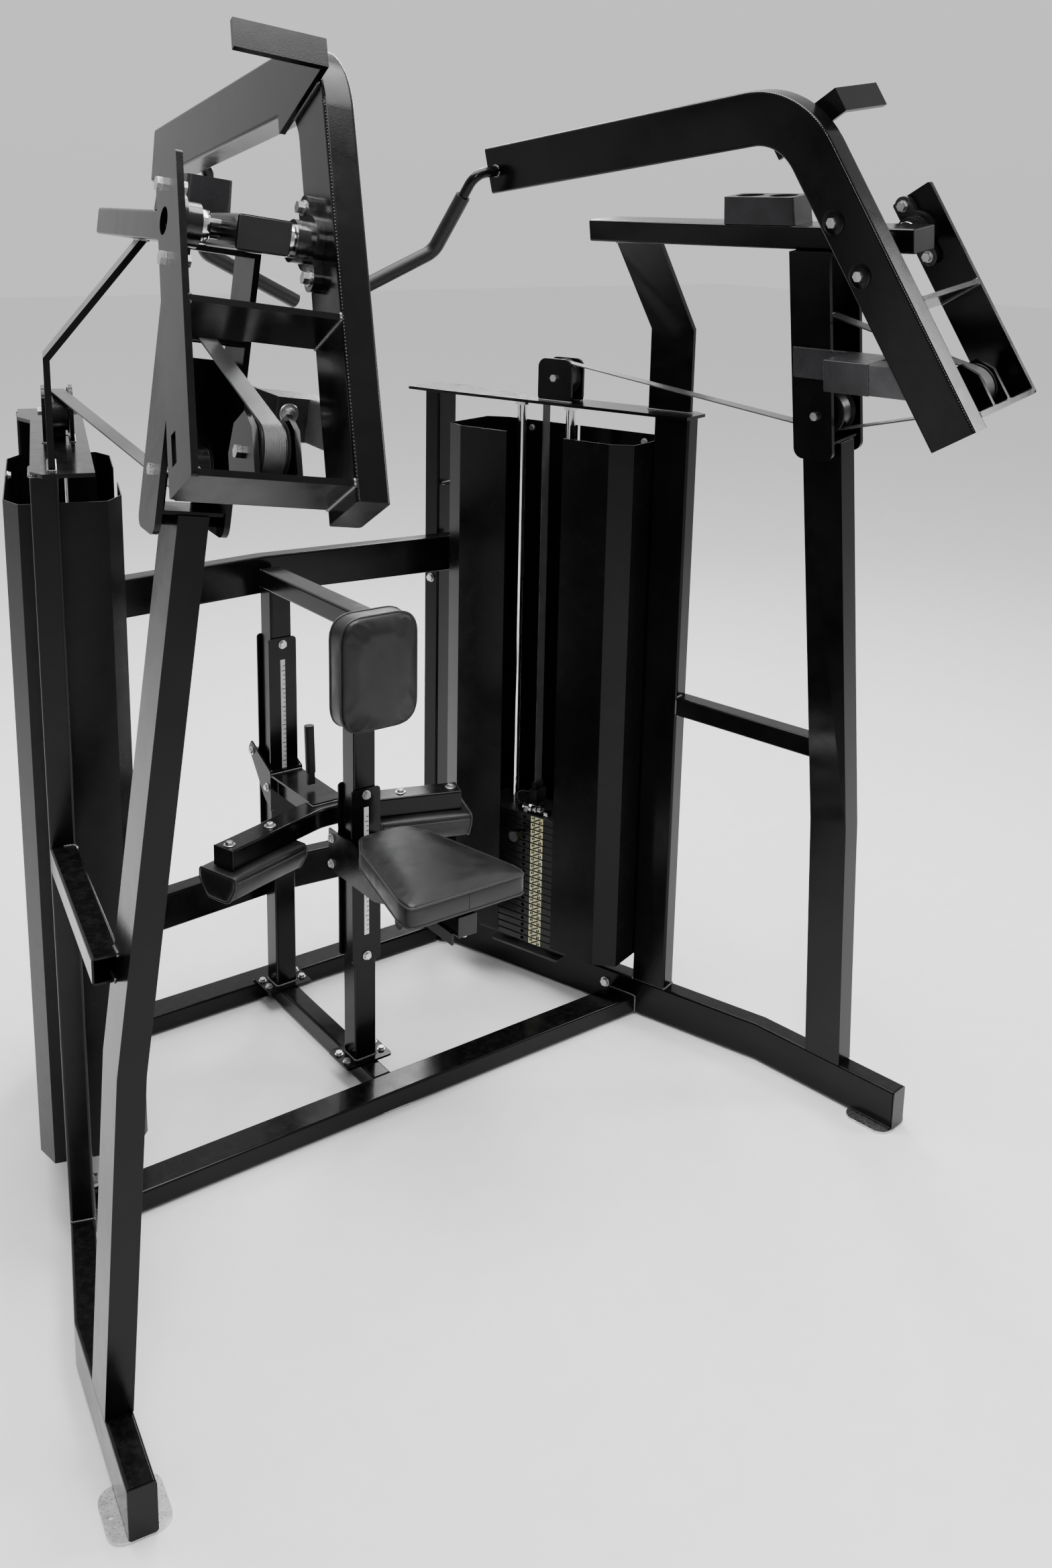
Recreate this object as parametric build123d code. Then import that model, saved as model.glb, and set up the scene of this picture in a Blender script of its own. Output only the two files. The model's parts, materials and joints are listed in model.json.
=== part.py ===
"""Twin-stack front pulldown machine: two independent levers, each lifting its own weight stack.

The user sits on the middle line facing +Y.  +X is the user's right, +Z is up.  Everything that comes
in pairs is drawn once for the right side (+X) and mirrored for the left.  Sizes are millimetres.
"""

import os
from math import atan2, cos, degrees, radians, sin, tan

from build123d import *

os.makedirs("parts", exist_ok=True)

# ---------------------------------------------------------------- driving dimensions
TUBE_W, TUBE_D = 50, 100          # main frame tube, laid on edge
BAR_W, BAR_H = 80, 50             # crossbars and top beams, laid flat
WALL = 4                          # wall of every frame tube
CORNER = 6                        # outside corner radius of every frame tube
FOOT_T = 6                        # thickness of the foot plates
DEPTH_MIDDLE = -51.8              # Y of the machine's middle, measured from the working datum

BASE_TOP = FOOT_T + TUBE_D
TOWER_SPLAY = 18                  # plan angle of the weight towers
FRAME_SPLAY = 8                   # plan angle of the lever frames
FRAME_LEAN = 8                    # inward lean of the lever frames

BASE_N = 773                      # base tube centre line, measured across the tower
BASE_REAR_S, BASE_BEND_S = -605, 525
BASE_NOSE = 408                   # length of the base in front of its bend

TOWER_N = 740                     # stack centre line
TOWER_HALF = 110                  # half width of the shrouds
STACK_S = -180                    # stack centre along the tower
ROD_SPACING, ROD_D = 156, 25
TOP_PLATE_Z, TOP_PLATE_T = 1672, 8
SHROUD_Z = (180, 1600)
PLATE_L, PLATE_W, PLATE_T, PLATE_PITCH = 300, 120, 20, 20.4
PLATE_COUNT, PLATES_LIFTED = 19, 3
STACK_Z = 140
PIN_D = 10

SHAFT = (710, -650, 2125)         # middle of the right lever's shaft
SHAFT_D = 30
BEAM_F = (-790, 72)               # rear and front end of the top beam, from the shaft
UPRIGHT_F = -155                  # centre of the front upright, from the shaft
UPRIGHT_BEND_Z = 750
BOX_W, BOX_WALL, BOX_BOTTOM = 120, 10, -475

ARM_A = 130                       # lever tube centre, inboard of the shaft's middle
ARM_TOE = 430                     # lever length below the shaft
ARM_ANGLE = 30                    # lower leg, from upright
ARM_ELBOW, ARM_TIP = (-129, 264), (-1007, 152)
ARM_W, ARM_D = 50, 108
ARM_AHEAD = 20                    # lever centre line runs this far ahead of its shaft
ARM_RADIUS = 150
YOKE_A = 112                      # inside face of the outboard yoke plate
PULLEY_R, PULLEY_W, BELT_W, BELT_T = 45, 44, 30, 3
STACK_PULLEY = (-135, 1740)       # along the tower, height
POST_PULLEY = (UPRIGHT_F + 9, -375)
BELT_ANCHOR = (UPRIGHT_F + 10, -165)
GRIP_R, BAR_R = 18, 12.5

REAR_POST_Y, SEAT_POST_Y = 700, 270
POST_W = 60
SEAT_TOP, SEAT_FRONT = 715, -215
KNEE_Z = 660                      # middle of the knee hold-down tube


# ---------------------------------------------------------------- places
def unit(angle):
    return cos(radians(angle)), sin(radians(angle))


ct, st = unit(TOWER_SPLAY)
cs, ss = unit(FRAME_SPLAY)
cl, sl = unit(FRAME_LEAN)
AXIS = Vector(cs * cl, ss * cl, sl)            # along the lever shaft, outboard and up
FORWARD = Vector(ss, -cs, 0)                   # along the top beam, towards the user's back
RISE = Vector(-cs * sl, -ss * sl, cl)          # up the leaning lever frame


def tower_plane(z=0):
    """Local x runs forward along the tower, local y outward, local z up."""
    return Plane(origin=(0, 0, z), x_dir=(st, -ct, 0), z_dir=(0, 0, 1))


def tower(s, n, z=0):
    return Vector(n * ct + s * st, n * st - s * ct, z)


LEVER = Plane(origin=SHAFT, x_dir=FORWARD, z_dir=AXIS * -1)   # local x forward, y up, z inboard


def lever(f, u, inboard=0):
    return Vector(*SHAFT) + FORWARD * f + RISE * u - AXIS * inboard


def leg(along, across):
    """A point on the lever's lower leg: along it downwards from the shaft, and across it forwards."""
    c, s = unit(ARM_ANGLE)
    return along * s + across * c, -along * c + across * s


# ---------------------------------------------------------------- shapes
def block(x, y, z):
    """A box between three pairs of limits."""
    return Pos((x[0] + x[1]) / 2, (y[0] + y[1]) / 2, (z[0] + z[1]) / 2) * Box(
        x[1] - x[0], y[1] - y[0], z[1] - z[0])


def section_plane(path, across):
    return Plane(origin=path @ 0, x_dir=across, z_dir=path % 0)


def tube(points, across, width, depth, wall=WALL, radius=None, corner=CORNER):
    """A hollow rectangular tube along points; width lies along the direction across."""
    path = FilletPolyline(*points, radius=radius) if radius else Polyline(*points)
    plane = section_plane(path, across)
    shell = sweep(plane * RectangleRounded(width, depth, corner), path=path,
                  transition=Transition.RIGHT)
    bore = sweep(plane * Rectangle(width - 2 * wall, depth - 2 * wall), path=path,
                 transition=Transition.RIGHT)
    return shell - bore


def solid_bar(points, across, width, depth):
    """The filled envelope of a tube, for cutting its neighbours."""
    path = Polyline(*points)
    return sweep(section_plane(path, across) * Rectangle(width, depth), path=path,
                 transition=Transition.RIGHT)


def round_bar(points, radius, bend):
    path = FilletPolyline(*points, radius=bend) if bend else Polyline(*points)
    plane = Plane(origin=path @ 0, z_dir=path % 0)
    return sweep(plane * Circle(radius), path=path)


def strip(points, thickness):
    """Plan outline of a folded sheet whose middle runs through points, with mitred folds."""
    left, right = [], []
    for i, p in enumerate(points):
        before = Vector(*points[max(i - 1, 0)])
        after = Vector(*points[min(i + 1, len(points) - 1)])
        here = Vector(*p)
        d1 = (here - before).normalized() if i else (after - here).normalized()
        d2 = (after - here).normalized() if i < len(points) - 1 else d1
        half = radians(d1.get_signed_angle(d2, Vector(0, 0, 1))) / 2
        mid = (d1 + d2).normalized()
        out = Vector(-mid.Y, mid.X, 0) * (thickness / 2 / cos(half))
        left.append(here + out)
        right.append(here - out)
    return make_face(Polyline(*left, *reversed(right), close=True))


def raise_up(face, height):
    """Extrude a face drawn in plan upwards, whichever way round its outline runs."""
    return extrude(face, height, dir=(0, 0, 1))


def slab(points, z):
    """A flat plate with straight edges through points, between two levels."""
    return Pos(0, 0, z[0]) * raise_up(make_face(Polyline(*points, close=True)), z[1] - z[0])


def hex_bolt(place, direction, size=10, washer=0):
    """Head and washer of one hexagon bolt, standing on place."""
    plane = Plane(origin=place, z_dir=direction)
    ring = washer or size * 1.15
    head = Pos(0, 0, 2) * extrude(RegularPolygon(size * 0.92, 6), size * 0.65)
    return plane.location * (extrude(Circle(ring), 2) + head)


def group(items):
    return Compound(children=list(items))


def mirrored(shape):
    """The mirror image of a piece or a group, each solid on its own."""
    solids = shape.solids()
    if len(solids) > 1:
        return group([mirror(s, about=Plane.YZ) for s in solids])
    return mirror(shape, about=Plane.YZ)


def both(shape):
    """The piece and its mirror image."""
    return [shape, mirrored(shape)]


NODES = {}


def add(name, shape):
    NODES[name] = shape


def add_pair(name, shape):
    """Write the right-hand piece and its mirror image as two nodes."""
    add(name + "_right", shape)
    add(name + "_left", mirrored(shape))


# ---------------------------------------------------------------- base frame
nose = Vector(*unit(-90 + FRAME_SPLAY)) * BASE_NOSE
base_mid = FOOT_T + TUBE_D / 2
rear = tower(BASE_REAR_S, BASE_N, base_mid)
bend = tower(BASE_BEND_S, BASE_N, base_mid)
front = bend + nose
base_path = [rear, bend, front]
across_tower = Vector(ct, st, 0)
base = tube(base_path, across_tower, TUBE_W, TUBE_D)
base_block = solid_bar(base_path, across_tower, TUBE_W, TUBE_D)
nose_plane = Plane(origin=front, x_dir=Vector(cs, ss, 0), z_dir=nose.normalized())
base += nose_plane.location * Pos(0, 0, 1.5) * extrude(RectangleRounded(TUBE_W, TUBE_D, CORNER), 3)
add_pair("base", base)

front_foot = Location((*tuple(front - nose.normalized() * 58)[:2], 0), (0, 0, FRAME_SPLAY)) * (
    extrude(RectangleRounded(110, 120, 30), FOOT_T))
rear_foot = tower_plane().location * Pos(BASE_REAR_S + 55, BASE_N) * (
    extrude(RectangleRounded(110, 90, 20), FOOT_T))
middle_feet = [Pos(0, y) * extrude(RectangleRounded(90, 70, 12), FOOT_T) for y in (122, 765)]
FOOT_HOLE_R, FOOT_HOLE_OUT = 5.5, 41
front_foot -= Location(front_foot.center(), (0, 0, FRAME_SPLAY)) * Pos(FOOT_HOLE_OUT, 0) * (
    Cylinder(FOOT_HOLE_R, 40))
rear_foot -= tower_plane().location * Pos(BASE_REAR_S + 55, BASE_N + FOOT_HOLE_OUT) * (
    Cylinder(FOOT_HOLE_R, 40))
add("foot_plates", group([*both(front_foot), *both(rear_foot), *middle_feet]))

bases = [base_block, mirrored(base_block)]
low = (FOOT_T, FOOT_T + BAR_H)


def crossbar(y, half):
    """A flat bar across the machine, coped to the two base tubes."""
    z = sum(low) / 2
    bar = tube([(-half, y, z), (half, y, z)], Vector(0, 1, 0), BAR_W, BAR_H)
    for b in bases:
        bar -= b
    return bar.solids().sort_by(lambda s: abs(s.center().X))[0]


spine = tube([(0, 162, sum(low) / 2), (0, 725, sum(low) / 2)], Vector(1, 0, 0), 50, BAR_H)
add("crossbars", group([crossbar(122, 780), crossbar(765, 600), spine]))

# ---------------------------------------------------------------- weight tower posts and braces
front_post = tower_plane(BASE_TOP).location * Pos(195, BASE_N) * (
    extrude(RectangleRounded(TUBE_D, TUBE_W, CORNER), TOP_PLATE_Z - BASE_TOP)
    - extrude(Rectangle(TUBE_D - 2 * WALL, TUBE_W - 2 * WALL), TOP_PLATE_Z - BASE_TOP))
rear_post = tower_plane(BASE_TOP).location * Pos(-575, BASE_N + 15) * (
    extrude(RectangleRounded(50, 80, CORNER), TOP_PLATE_Z - BASE_TOP)
    - extrude(Rectangle(50 - 2 * WALL, 80 - 2 * WALL), TOP_PLATE_Z - BASE_TOP))
add("stack_posts", group([*both(front_post), *both(rear_post)]))

front_post_block = tower_plane(BASE_TOP).location * Pos(195, BASE_N, 780) * Box(TUBE_D, TUBE_W, 1560)

# Top beam with a capped end at the front and the shaft's cross hole.
beam_hole = Cylinder(SHAFT_D / 2, 200)
beam_path = [lever(BEAM_F[0], 0), lever(BEAM_F[1], 0)]
beam = tube(beam_path, AXIS, BAR_W, BAR_H)
for end in (0, 1):
    cap_at = beam_path[end] + FORWARD * (-4, 0)[end]
    cap = Plane(origin=cap_at, x_dir=AXIS, z_dir=FORWARD).location * (
        extrude(RectangleRounded(BAR_W, BAR_H, CORNER), 4))
    beam += cap
beam -= LEVER.location * beam_hole
beam_block = solid_bar(beam_path, AXIS, BAR_W, BAR_H)
add_pair("top_beam", beam)

# Plate hanger: stands on the tower, then leans in to carry the top beam.
hang_foot = TOP_PLATE_Z + TOP_PLATE_T
hang_knee = 1885
hang_reach = 183
hanger_side = Plane(origin=tower(185, BASE_N - 15, 0), x_dir=(ct, st, 0), z_dir=(st, -ct, 0))
hanger = hanger_side.location * Pos(0, 0, -60) * raise_up(
    strip([(0, hang_foot), (0, hang_knee), (-hang_reach, 2104)], 12), 120)
hanger -= beam_block
brace_z = 915
brace = tube([tower(245, BASE_N, brace_z), tower(700, BASE_N - 60, brace_z)], Vector(0, 0, 1), 50, 50)
ties = [tower_plane().location * block((-550, -437), (765, 805), (z, z + 4)) for z in (400, 1400)]


# ---------------------------------------------------------------- front upright and its pulley box
lean_plane = Plane(origin=lever(UPRIGHT_F, 0), x_dir=Vector(cs, ss, 0), z_dir=FORWARD)
bend_drop = SHAFT[2] - UPRIGHT_BEND_Z
bend_out = bend_drop * tan(radians(FRAME_LEAN))
foot_y = SHAFT[2] - BASE_TOP
foot_at = lever(UPRIGHT_F, 0)
base_dir = Vector(cs, ss, 0)
foot_out = (bend + nose * ((bend.Y - foot_at.Y) / (bend.Y - front.Y)) - foot_at).dot(base_dir)
tube_top = BOX_BOTTOM + 36
tube_top_pt = (-tube_top * sl, tube_top * cl)
upright_line = [(2 * foot_out - bend_out, -2 * foot_y + bend_drop), (bend_out, -bend_drop), tube_top_pt]
outer = lean_plane.location * Pos(0, 0, -TUBE_D / 2) * raise_up(strip(upright_line, TUBE_W), TUBE_D)
inner = lean_plane.location * Pos(0, 0, WALL - TUBE_D / 2) * raise_up(
    strip(upright_line, TUBE_W - 2 * WALL), TUBE_D - 2 * WALL)
below_base = lean_plane.location * Pos(0, -foot_y - 1000, 0) * Box(3000, 2000, 3000)
outer -= below_base
upright = outer - inner
upright_block = outer

# The box is a channel open towards the front, closed below by a shelf on the tube's end. Above its
# back plate only the two cheeks go on, up to a cap plate under the top beam.
box_lim = (-TUBE_D / 2, TUBE_D / 2)
box = block((-50, 50), (BOX_BOTTOM, -BAR_H / 2), (-BOX_W / 2, BOX_W / 2))
box = fillet(box.edges().filter_by(Axis.Z).group_by(Axis.Y)[0], 22)
box -= block((-50 + BOX_WALL, 60), (BOX_BOTTOM - 10, -BAR_H / 2 - 8),
             (BOX_WALL - BOX_W / 2, BOX_W / 2 - BOX_WALL))
box -= block((-60, 60), (-200, -BAR_H / 2 - 8), (BOX_WALL - BOX_W / 2, BOX_W / 2 - BOX_WALL))
shelf = block((-50 + BOX_WALL, 44), (tube_top, tube_top + 6),
              (BOX_WALL - BOX_W / 2, BOX_W / 2 - BOX_WALL))
box += shelf
belt_slot = block((-60, -40), (POST_PULLEY[1] - 95, POST_PULLEY[1] - 20), (-22, 22))
box -= belt_slot
box -= Pos(POST_PULLEY[0] - UPRIGHT_F, POST_PULLEY[1]) * Cylinder(6, 200)
anchor = Pos(BELT_ANCHOR[0] - UPRIGHT_F, BELT_ANCHOR[1]) * Cylinder(8, BOX_W - 2 * BOX_WALL)
box += anchor
box = LEVER.location * Pos(UPRIGHT_F, 0) * box
box -= beam_block
box -= upright_block
add("front_upright_right", group([upright, box]))
add("front_upright_left", group([mirrored(upright), mirrored(box)]))
brace -= upright_block + front_post_block
brace = brace.solids().sort_by(lambda s: s.center().Y)[-1]
add("side_braces", group([*both(hanger), *both(brace)] + [m for t in ties for m in both(t)]))

# ---------------------------------------------------------------- V beams behind the rear post
vee = [tube([(-600, 725, z), (0, 782, z), (600, 725, z)], Vector(0, 0, 1), 100, 50)
       for z in (1210, 345)]
rear_block = tower_plane(BASE_TOP).location * Pos(-575, BASE_N + 15) * Pos(0, 0, 800) * Box(50, 80, 1600)
beams = []
for v in vee:
    for cut in (rear_block, mirrored(rear_block)):
        v -= cut
    beams.append(v.solids().sort_by(Axis.Z).sort_by(lambda s: -s.volume)[0])
add("rear_beams", group(beams))

# ---------------------------------------------------------------- tower top
top_plate = tower_plane(TOP_PLATE_Z).location * slab(
    [(-612, 690), (-612, 826), (-480, 826), (-420, 797), (240, 797), (275, 775), (275, 683), (-480, 683)],
    (0, TOP_PLATE_T))
rod_spots = [(STACK_S + k * ROD_SPACING / 2, TOWER_N) for k in (-1, 1)]
for s, n in rod_spots:
    top_plate -= tower_plane(TOP_PLATE_Z).location * Pos(s, n) * Cylinder(ROD_D / 2, 40)
top_plate -= tower_plane(TOP_PLATE_Z).location * Pos(STACK_S, TOWER_N) * Box(16, 44, 40)
ear = tower_plane(TOP_PLATE_Z + TOP_PLATE_T).location * Pos(STACK_PULLEY[0], TOWER_N) * (
    Rot(90, 0, 0) * extrude(Pos(0, 50) * RectangleRounded(104, 120, 24), 4, both=True))
ear_cut = tower_plane(TOP_PLATE_Z + TOP_PLATE_T).location * Pos(STACK_PULLEY[0], TOWER_N, -50) * (
    Box(300, 300, 100))
ear -= ear_cut
ears = [Location(tower(0, k * 27, 0) - tower(0, 0, 0)) * ear for k in (-1, 1)]
for e in ears:
    top_plate += e
stack_axle = tower(STACK_PULLEY[0], TOWER_N, STACK_PULLEY[1])
axle_plane = Plane(origin=stack_axle, z_dir=(ct, st, 0))
top_plate -= axle_plane.location * Cylinder(5, 120)
add("stack_top_plates", group(both(top_plate)))

# Guide rods run from the base to above the top plate.
rods = []
for s, n in rod_spots:
    rod = Pos(0, 0, BASE_TOP) * extrude(Circle(ROD_D / 2), TOP_PLATE_Z + TOP_PLATE_T - BASE_TOP)
    nut = Pos(0, 0, TOP_PLATE_Z - 14) * extrude(RegularPolygon(20, 6), 12)
    washer = Pos(0, 0, TOP_PLATE_Z - 2) * extrude(Rectangle(46, 46), 2)
    rods.append(tower_plane().location * Pos(s, n) * (rod + nut + washer))
rods = [r - base_block for r in rods]
add("guide_rods", group([m for r in rods for m in both(r)]))

# Rubber cushions carry the resting stack on a cross strap over the base tube.
strap = tower_plane(BASE_TOP).location * Pos(STACK_S, TOWER_N + 3) * (
    extrude(RectangleRounded(230, 110, 10), 6))
cushions = []
for s, n in rod_spots:
    ring = extrude(Circle(26) - Circle(ROD_D / 2 + 0.3), STACK_Z - BASE_TOP - 7)
    cushions.append(tower_plane(BASE_TOP + 6).location * Pos(s, n) * ring)
    strap -= tower_plane().location * Pos(s, n, BASE_TOP) * Cylinder(ROD_D / 2, 40)
add("stack_cushions", group([m for c in cushions + [strap] for m in both(c)]))


# ---------------------------------------------------------------- shrouds
def shroud(gap, back, fold):
    """One folded sheet round an end of the tower; gap is its free inner edge."""
    inner_n, outer_n = TOWER_N - TOWER_HALF, TOWER_N + TOWER_HALF
    mid = (-147, 0)[0]
    step = 4 if back > mid else -4
    line = [(gap, inner_n), (fold, inner_n), (back, inner_n + 28), (back, outer_n - 28),
            (fold, outer_n), (mid + step, outer_n)]
    return tower_plane(SHROUD_Z[0]).location * raise_up(strip(line, 2), SHROUD_Z[1] - SHROUD_Z[0])


front_shroud = shroud(-50, 144, 88)
rear_shroud = shroud(-228, -436, -380)
add("shrouds_right", group([front_shroud, rear_shroud]))
add("shrouds_left", group([mirrored(front_shroud), mirrored(rear_shroud)]))

# ---------------------------------------------------------------- weight stacks
pin_level = STACK_Z + (PLATE_COUNT - PLATES_LIFTED) * PLATE_PITCH + PLATE_T / 2


def weight_plate(index):
    """One cast plate with rod holes, stem hole and the selector hole in its inner edge."""
    plate = Box(PLATE_L, PLATE_W, PLATE_T)
    plate = chamfer(plate.faces().sort_by(Axis.Z)[-1].edges() + plate.faces().sort_by(Axis.Z)[0].edges(), 2)
    for k in (-1, 1):
        plate -= Pos(k * ROD_SPACING / 2, 0) * Cylinder(ROD_D / 2 + 0.5, 60)
    plate -= Cylinder(14, 60)
    plate -= Pos(0, -PLATE_W / 4) * Rot(90, 0, 0) * Cylinder(PIN_D / 2 + 0.3, PLATE_W / 2 + 6)
    z = STACK_Z + PLATE_PITCH * index + PLATE_T / 2
    return tower_plane(z).location * Pos(STACK_S, TOWER_N) * plate


resting = [weight_plate(i) for i in range(PLATE_COUNT - PLATES_LIFTED)]
add("resting_plates_right", group(resting))
add("resting_plates_left", group([mirrored(p) for p in resting]))

lifted = [weight_plate(i) for i in range(PLATE_COUNT - PLATES_LIFTED, PLATE_COUNT)]
stack_top = STACK_Z + PLATE_PITCH * (PLATE_COUNT - 1) + PLATE_T
stem_top = stack_top + 14
stem = Pos(0, 0, STACK_Z + 8) * extrude(Circle(12), stem_top - STACK_Z - 8)
stem += Pos(0, 0, stack_top) * extrude(RegularPolygon(24, 6), 14)
stem += Pos(0, 0, stem_top + 20) * Box(26, 46, 40)
stem += Pos(0, 0, stem_top + 40) * extrude(Rectangle(14, 34), 22)
for i in range(PLATE_COUNT):
    level = STACK_Z + PLATE_PITCH * i + PLATE_T / 2
    stem -= Pos(0, 0, level) * Rot(90, 0, 0) * Cylinder(PIN_D / 2 + 0.3, 60)
stem = tower_plane().location * Pos(STACK_S, TOWER_N) * stem
add_pair("lifted_stack", group(lifted + [stem]))
clevis_top = stem_top + 62

pin = Pos(0, 0, -60) * extrude(Circle(PIN_D / 2), 76) + Pos(0, 0, 16) * extrude(Circle(11), 34)
pin += Pos(0, 0, 44) * extrude(Circle(15), 8)
pin_plane = Plane(origin=tower(STACK_S, TOWER_N - PLATE_W / 2, pin_level), z_dir=(-ct, -st, 0))
pin = pin_plane.location * Pos(0, 0, 1) * pin
add_pair("selector_pin", pin)


# ---------------------------------------------------------------- pulleys and belts
def pulley(plane, bore=5.05):
    """A crowned belt pulley with two flanges, turned on its axle."""
    half = PULLEY_W / 2
    wheel = Cylinder(PULLEY_R - BELT_T - 0.4, PULLEY_W)
    for k in (-1, 1):
        wheel += Pos(0, 0, k * (half - 1.5)) * Cylinder(PULLEY_R + 3, 3)
        wheel -= Pos(0, 0, k * half) * (Cylinder(PULLEY_R - 12, 16) - Cylinder(15, 16))
    wheel -= Cylinder(bore, PULLEY_W + 10)
    return plane.location * wheel


def lever_axle(f, u):
    return Plane(origin=lever(f, u), x_dir=FORWARD, z_dir=AXIS)


ARM_PULLEY = leg(346, 12)
add_pair("stack_pulley", pulley(axle_plane))
add_pair("post_pulley", pulley(lever_axle(*POST_PULLEY)))
add_pair("arm_pulley", pulley(lever_axle(*ARM_PULLEY)))


def axle(plane, half):
    rod = Pos(0, 0, -half) * extrude(Circle(5), 2 * half)
    heads = [Pos(0, 0, half) * extrude(RegularPolygon(10, 6), 8),
             Pos(0, 0, -half - 8) * extrude(RegularPolygon(10, 6), 8)]
    return plane.location * (rod + heads[0] + heads[1])


axles = [*both(axle(axle_plane, 31.1)), *both(axle(lever_axle(*POST_PULLEY), BOX_W / 2 + 0.1))]

rise = tower_plane(clevis_top).location * Pos(STACK_PULLEY[0] - PULLEY_R + BELT_T / 2, TOWER_N) * (
    extrude(Rectangle(BELT_T, BELT_W), STACK_PULLEY[1] - clevis_top))
add_pair("lift_belt", rise)


def belt_run(a, b, out):
    """A straight flat run from a to b; out is the direction of the belt's thickness."""
    direction = (b - a).normalized()
    wide = direction.cross(out).normalized()
    plane = Plane(origin=a, x_dir=wide, z_dir=direction)
    return plane.location * extrude(Rectangle(BELT_W, BELT_T), (b - a).length)


def wrap(plane, start, turn):
    """The belt's wrap round a pulley, from a start angle, in the plane's own sense."""
    r = PULLEY_R - BELT_T / 2
    arc = CenterArc((0, 0), r, start, turn)
    face = Plane(origin=arc @ 0, x_dir=(0, 0, 1), z_dir=arc % 0) * Rectangle(BELT_W, BELT_T)
    return plane.location * sweep(face, path=arc)


mid_r = PULLEY_R - BELT_T / 2
post_axle = lever(*POST_PULLEY)
arm_axle = lever(*ARM_PULLEY)
# The transfer belt leaves the stack pulley's top and passes under the post pulley.
reach = (post_axle - stack_axle).length
line = (post_axle - stack_axle).normalized()
above = (Vector(0, 0, 1) - line * line.Z).normalized()
lean_s = 2 * mid_r / reach
normal = line * lean_s + above * (1 - lean_s ** 2) ** 0.5
along = line * (1 - lean_s ** 2) ** 0.5 - above * lean_s
transfer = belt_run(stack_axle + normal * (mid_r + 0.3) + along, post_axle - normal * (mid_r + 0.3), normal)
tower_dir = Vector(st, -ct, 0)
leaves = degrees(atan2(normal.Z, normal.dot(tower_dir)))
over = wrap(Plane(origin=stack_axle, x_dir=tower_dir, z_dir=(-ct, -st, 0)), leaves, 179 - leaves)
for place in (axle_plane, lever_axle(*POST_PULLEY)):
    transfer -= place.location * Cylinder(PULLEY_R - BELT_T - 0.2, PULLEY_W + 20)
    for k in (-1, 1):
        transfer -= place.location * Pos(0, 0, k * (PULLEY_W / 2 - 1.5)) * Cylinder(PULLEY_R + 3.5, 3.8)
transfer -= ears[0] + over
transfer = transfer.solids().sort_by(lambda s: s.volume)[-1]
add("transfer_belts", group([*both(transfer), *both(over)]))


def tangent_gap(a, b, side):
    """Where a belt leaves a pulley at a for an equal pulley at b; side is +1 above, -1 below."""
    d = (b - a).normalized()
    n = AXIS.cross(d) * side
    return a + n * mid_r, b + n * mid_r


low_a, low_b = tangent_gap(post_axle, arm_axle, 1)
if low_a.Z > post_axle.Z:
    low_a, low_b = tangent_gap(post_axle, arm_axle, -1)
run_dir = (low_b - low_a).normalized()
lower_run = belt_run(low_a + run_dir * 2, low_b - run_dir * 1, AXIS.cross(run_dir))
anchor_at = lever(BELT_ANCHOR[0] + 10, BELT_ANCHOR[1])
ret_dir = (anchor_at - (arm_axle + RISE * mid_r)).normalized()
up_n = ret_dir.cross(AXIS)
if up_n.Z < 0:
    up_n = up_n * -1
top_b = arm_axle + up_n * mid_r
upper_run = belt_run(top_b + (anchor_at - top_b).normalized() * 1, anchor_at, up_n)
turn_a = (low_b - arm_axle)
turn_b = (top_b - arm_axle)
turn_plane = Plane(origin=arm_axle, x_dir=turn_a.normalized(), z_dir=AXIS * -1)
sweep_angle = turn_a.get_angle(turn_b)
round_arm = wrap(turn_plane, 0, sweep_angle)
add_pair("arm_belt", group([lower_run, round_arm, upper_run]))

# ---------------------------------------------------------------- levers
arm_path = [(*leg(ARM_TOE, ARM_AHEAD), 0), (*ARM_ELBOW, 0), (*ARM_TIP, 0)]
arm = tube(arm_path, Vector(0, 0, 1), ARM_W, ARM_D, radius=ARM_RADIUS)
arm = Pos(0, 0, ARM_A) * arm
for k, (a, b) in enumerate((arm_path[:2], arm_path[:0:-1][:2])):
    out = (Vector(*a) - Vector(*b)).normalized()
    plug = Plane(origin=Vector(*a) + Vector(0, 0, ARM_A), x_dir=(0, 0, 1), z_dir=out)
    arm += plug.location * Pos(0, 0, -3) * extrude(RectangleRounded(ARM_W, ARM_D, CORNER), 4)
# Flat-bar tab across the bend, turned outboard.
tab_start, tab_end = Vector(-205, 188), Vector(-52, 276)
tab_dir = (tab_end - tab_start).normalized()
tab = Pos(0, 0, ARM_A - TUBE_W / 2 - 10) * raise_up(strip([(*tab_start,)[:2], (*tab_end,)[:2]], 50), 10)
tab_plane = Plane(origin=(tab_end.X, tab_end.Y, ARM_A - TUBE_W / 2), x_dir=tab_dir, z_dir=(0, 0, -1))
tab += tab_plane.location * Pos(5, 0) * extrude(Rectangle(10, 50), 145)
arm_shape = LEVER.location * (arm + tab)
add_pair("arm_tube", arm_shape)

yoke_line = [leg(-76, ARM_AHEAD), leg(ARM_TOE - 22, ARM_AHEAD)]
yoke = Pos(0, 0, -YOKE_A - 10) * raise_up(strip(yoke_line, 100), 10)
yoke = fillet(yoke.edges().filter_by(Axis.Z), 6)
slot_at = leg(ARM_TOE - 85, 0)
yoke -= Pos(*slot_at, -YOKE_A - 5) * Rot(0, 0, ARM_ANGLE) * Box(20, 46, 30)
yoke -= Pos(0, 0, -YOKE_A - 5) * Cylinder(20, 30)
span = (-YOKE_A, ARM_A - TUBE_W / 2)


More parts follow.
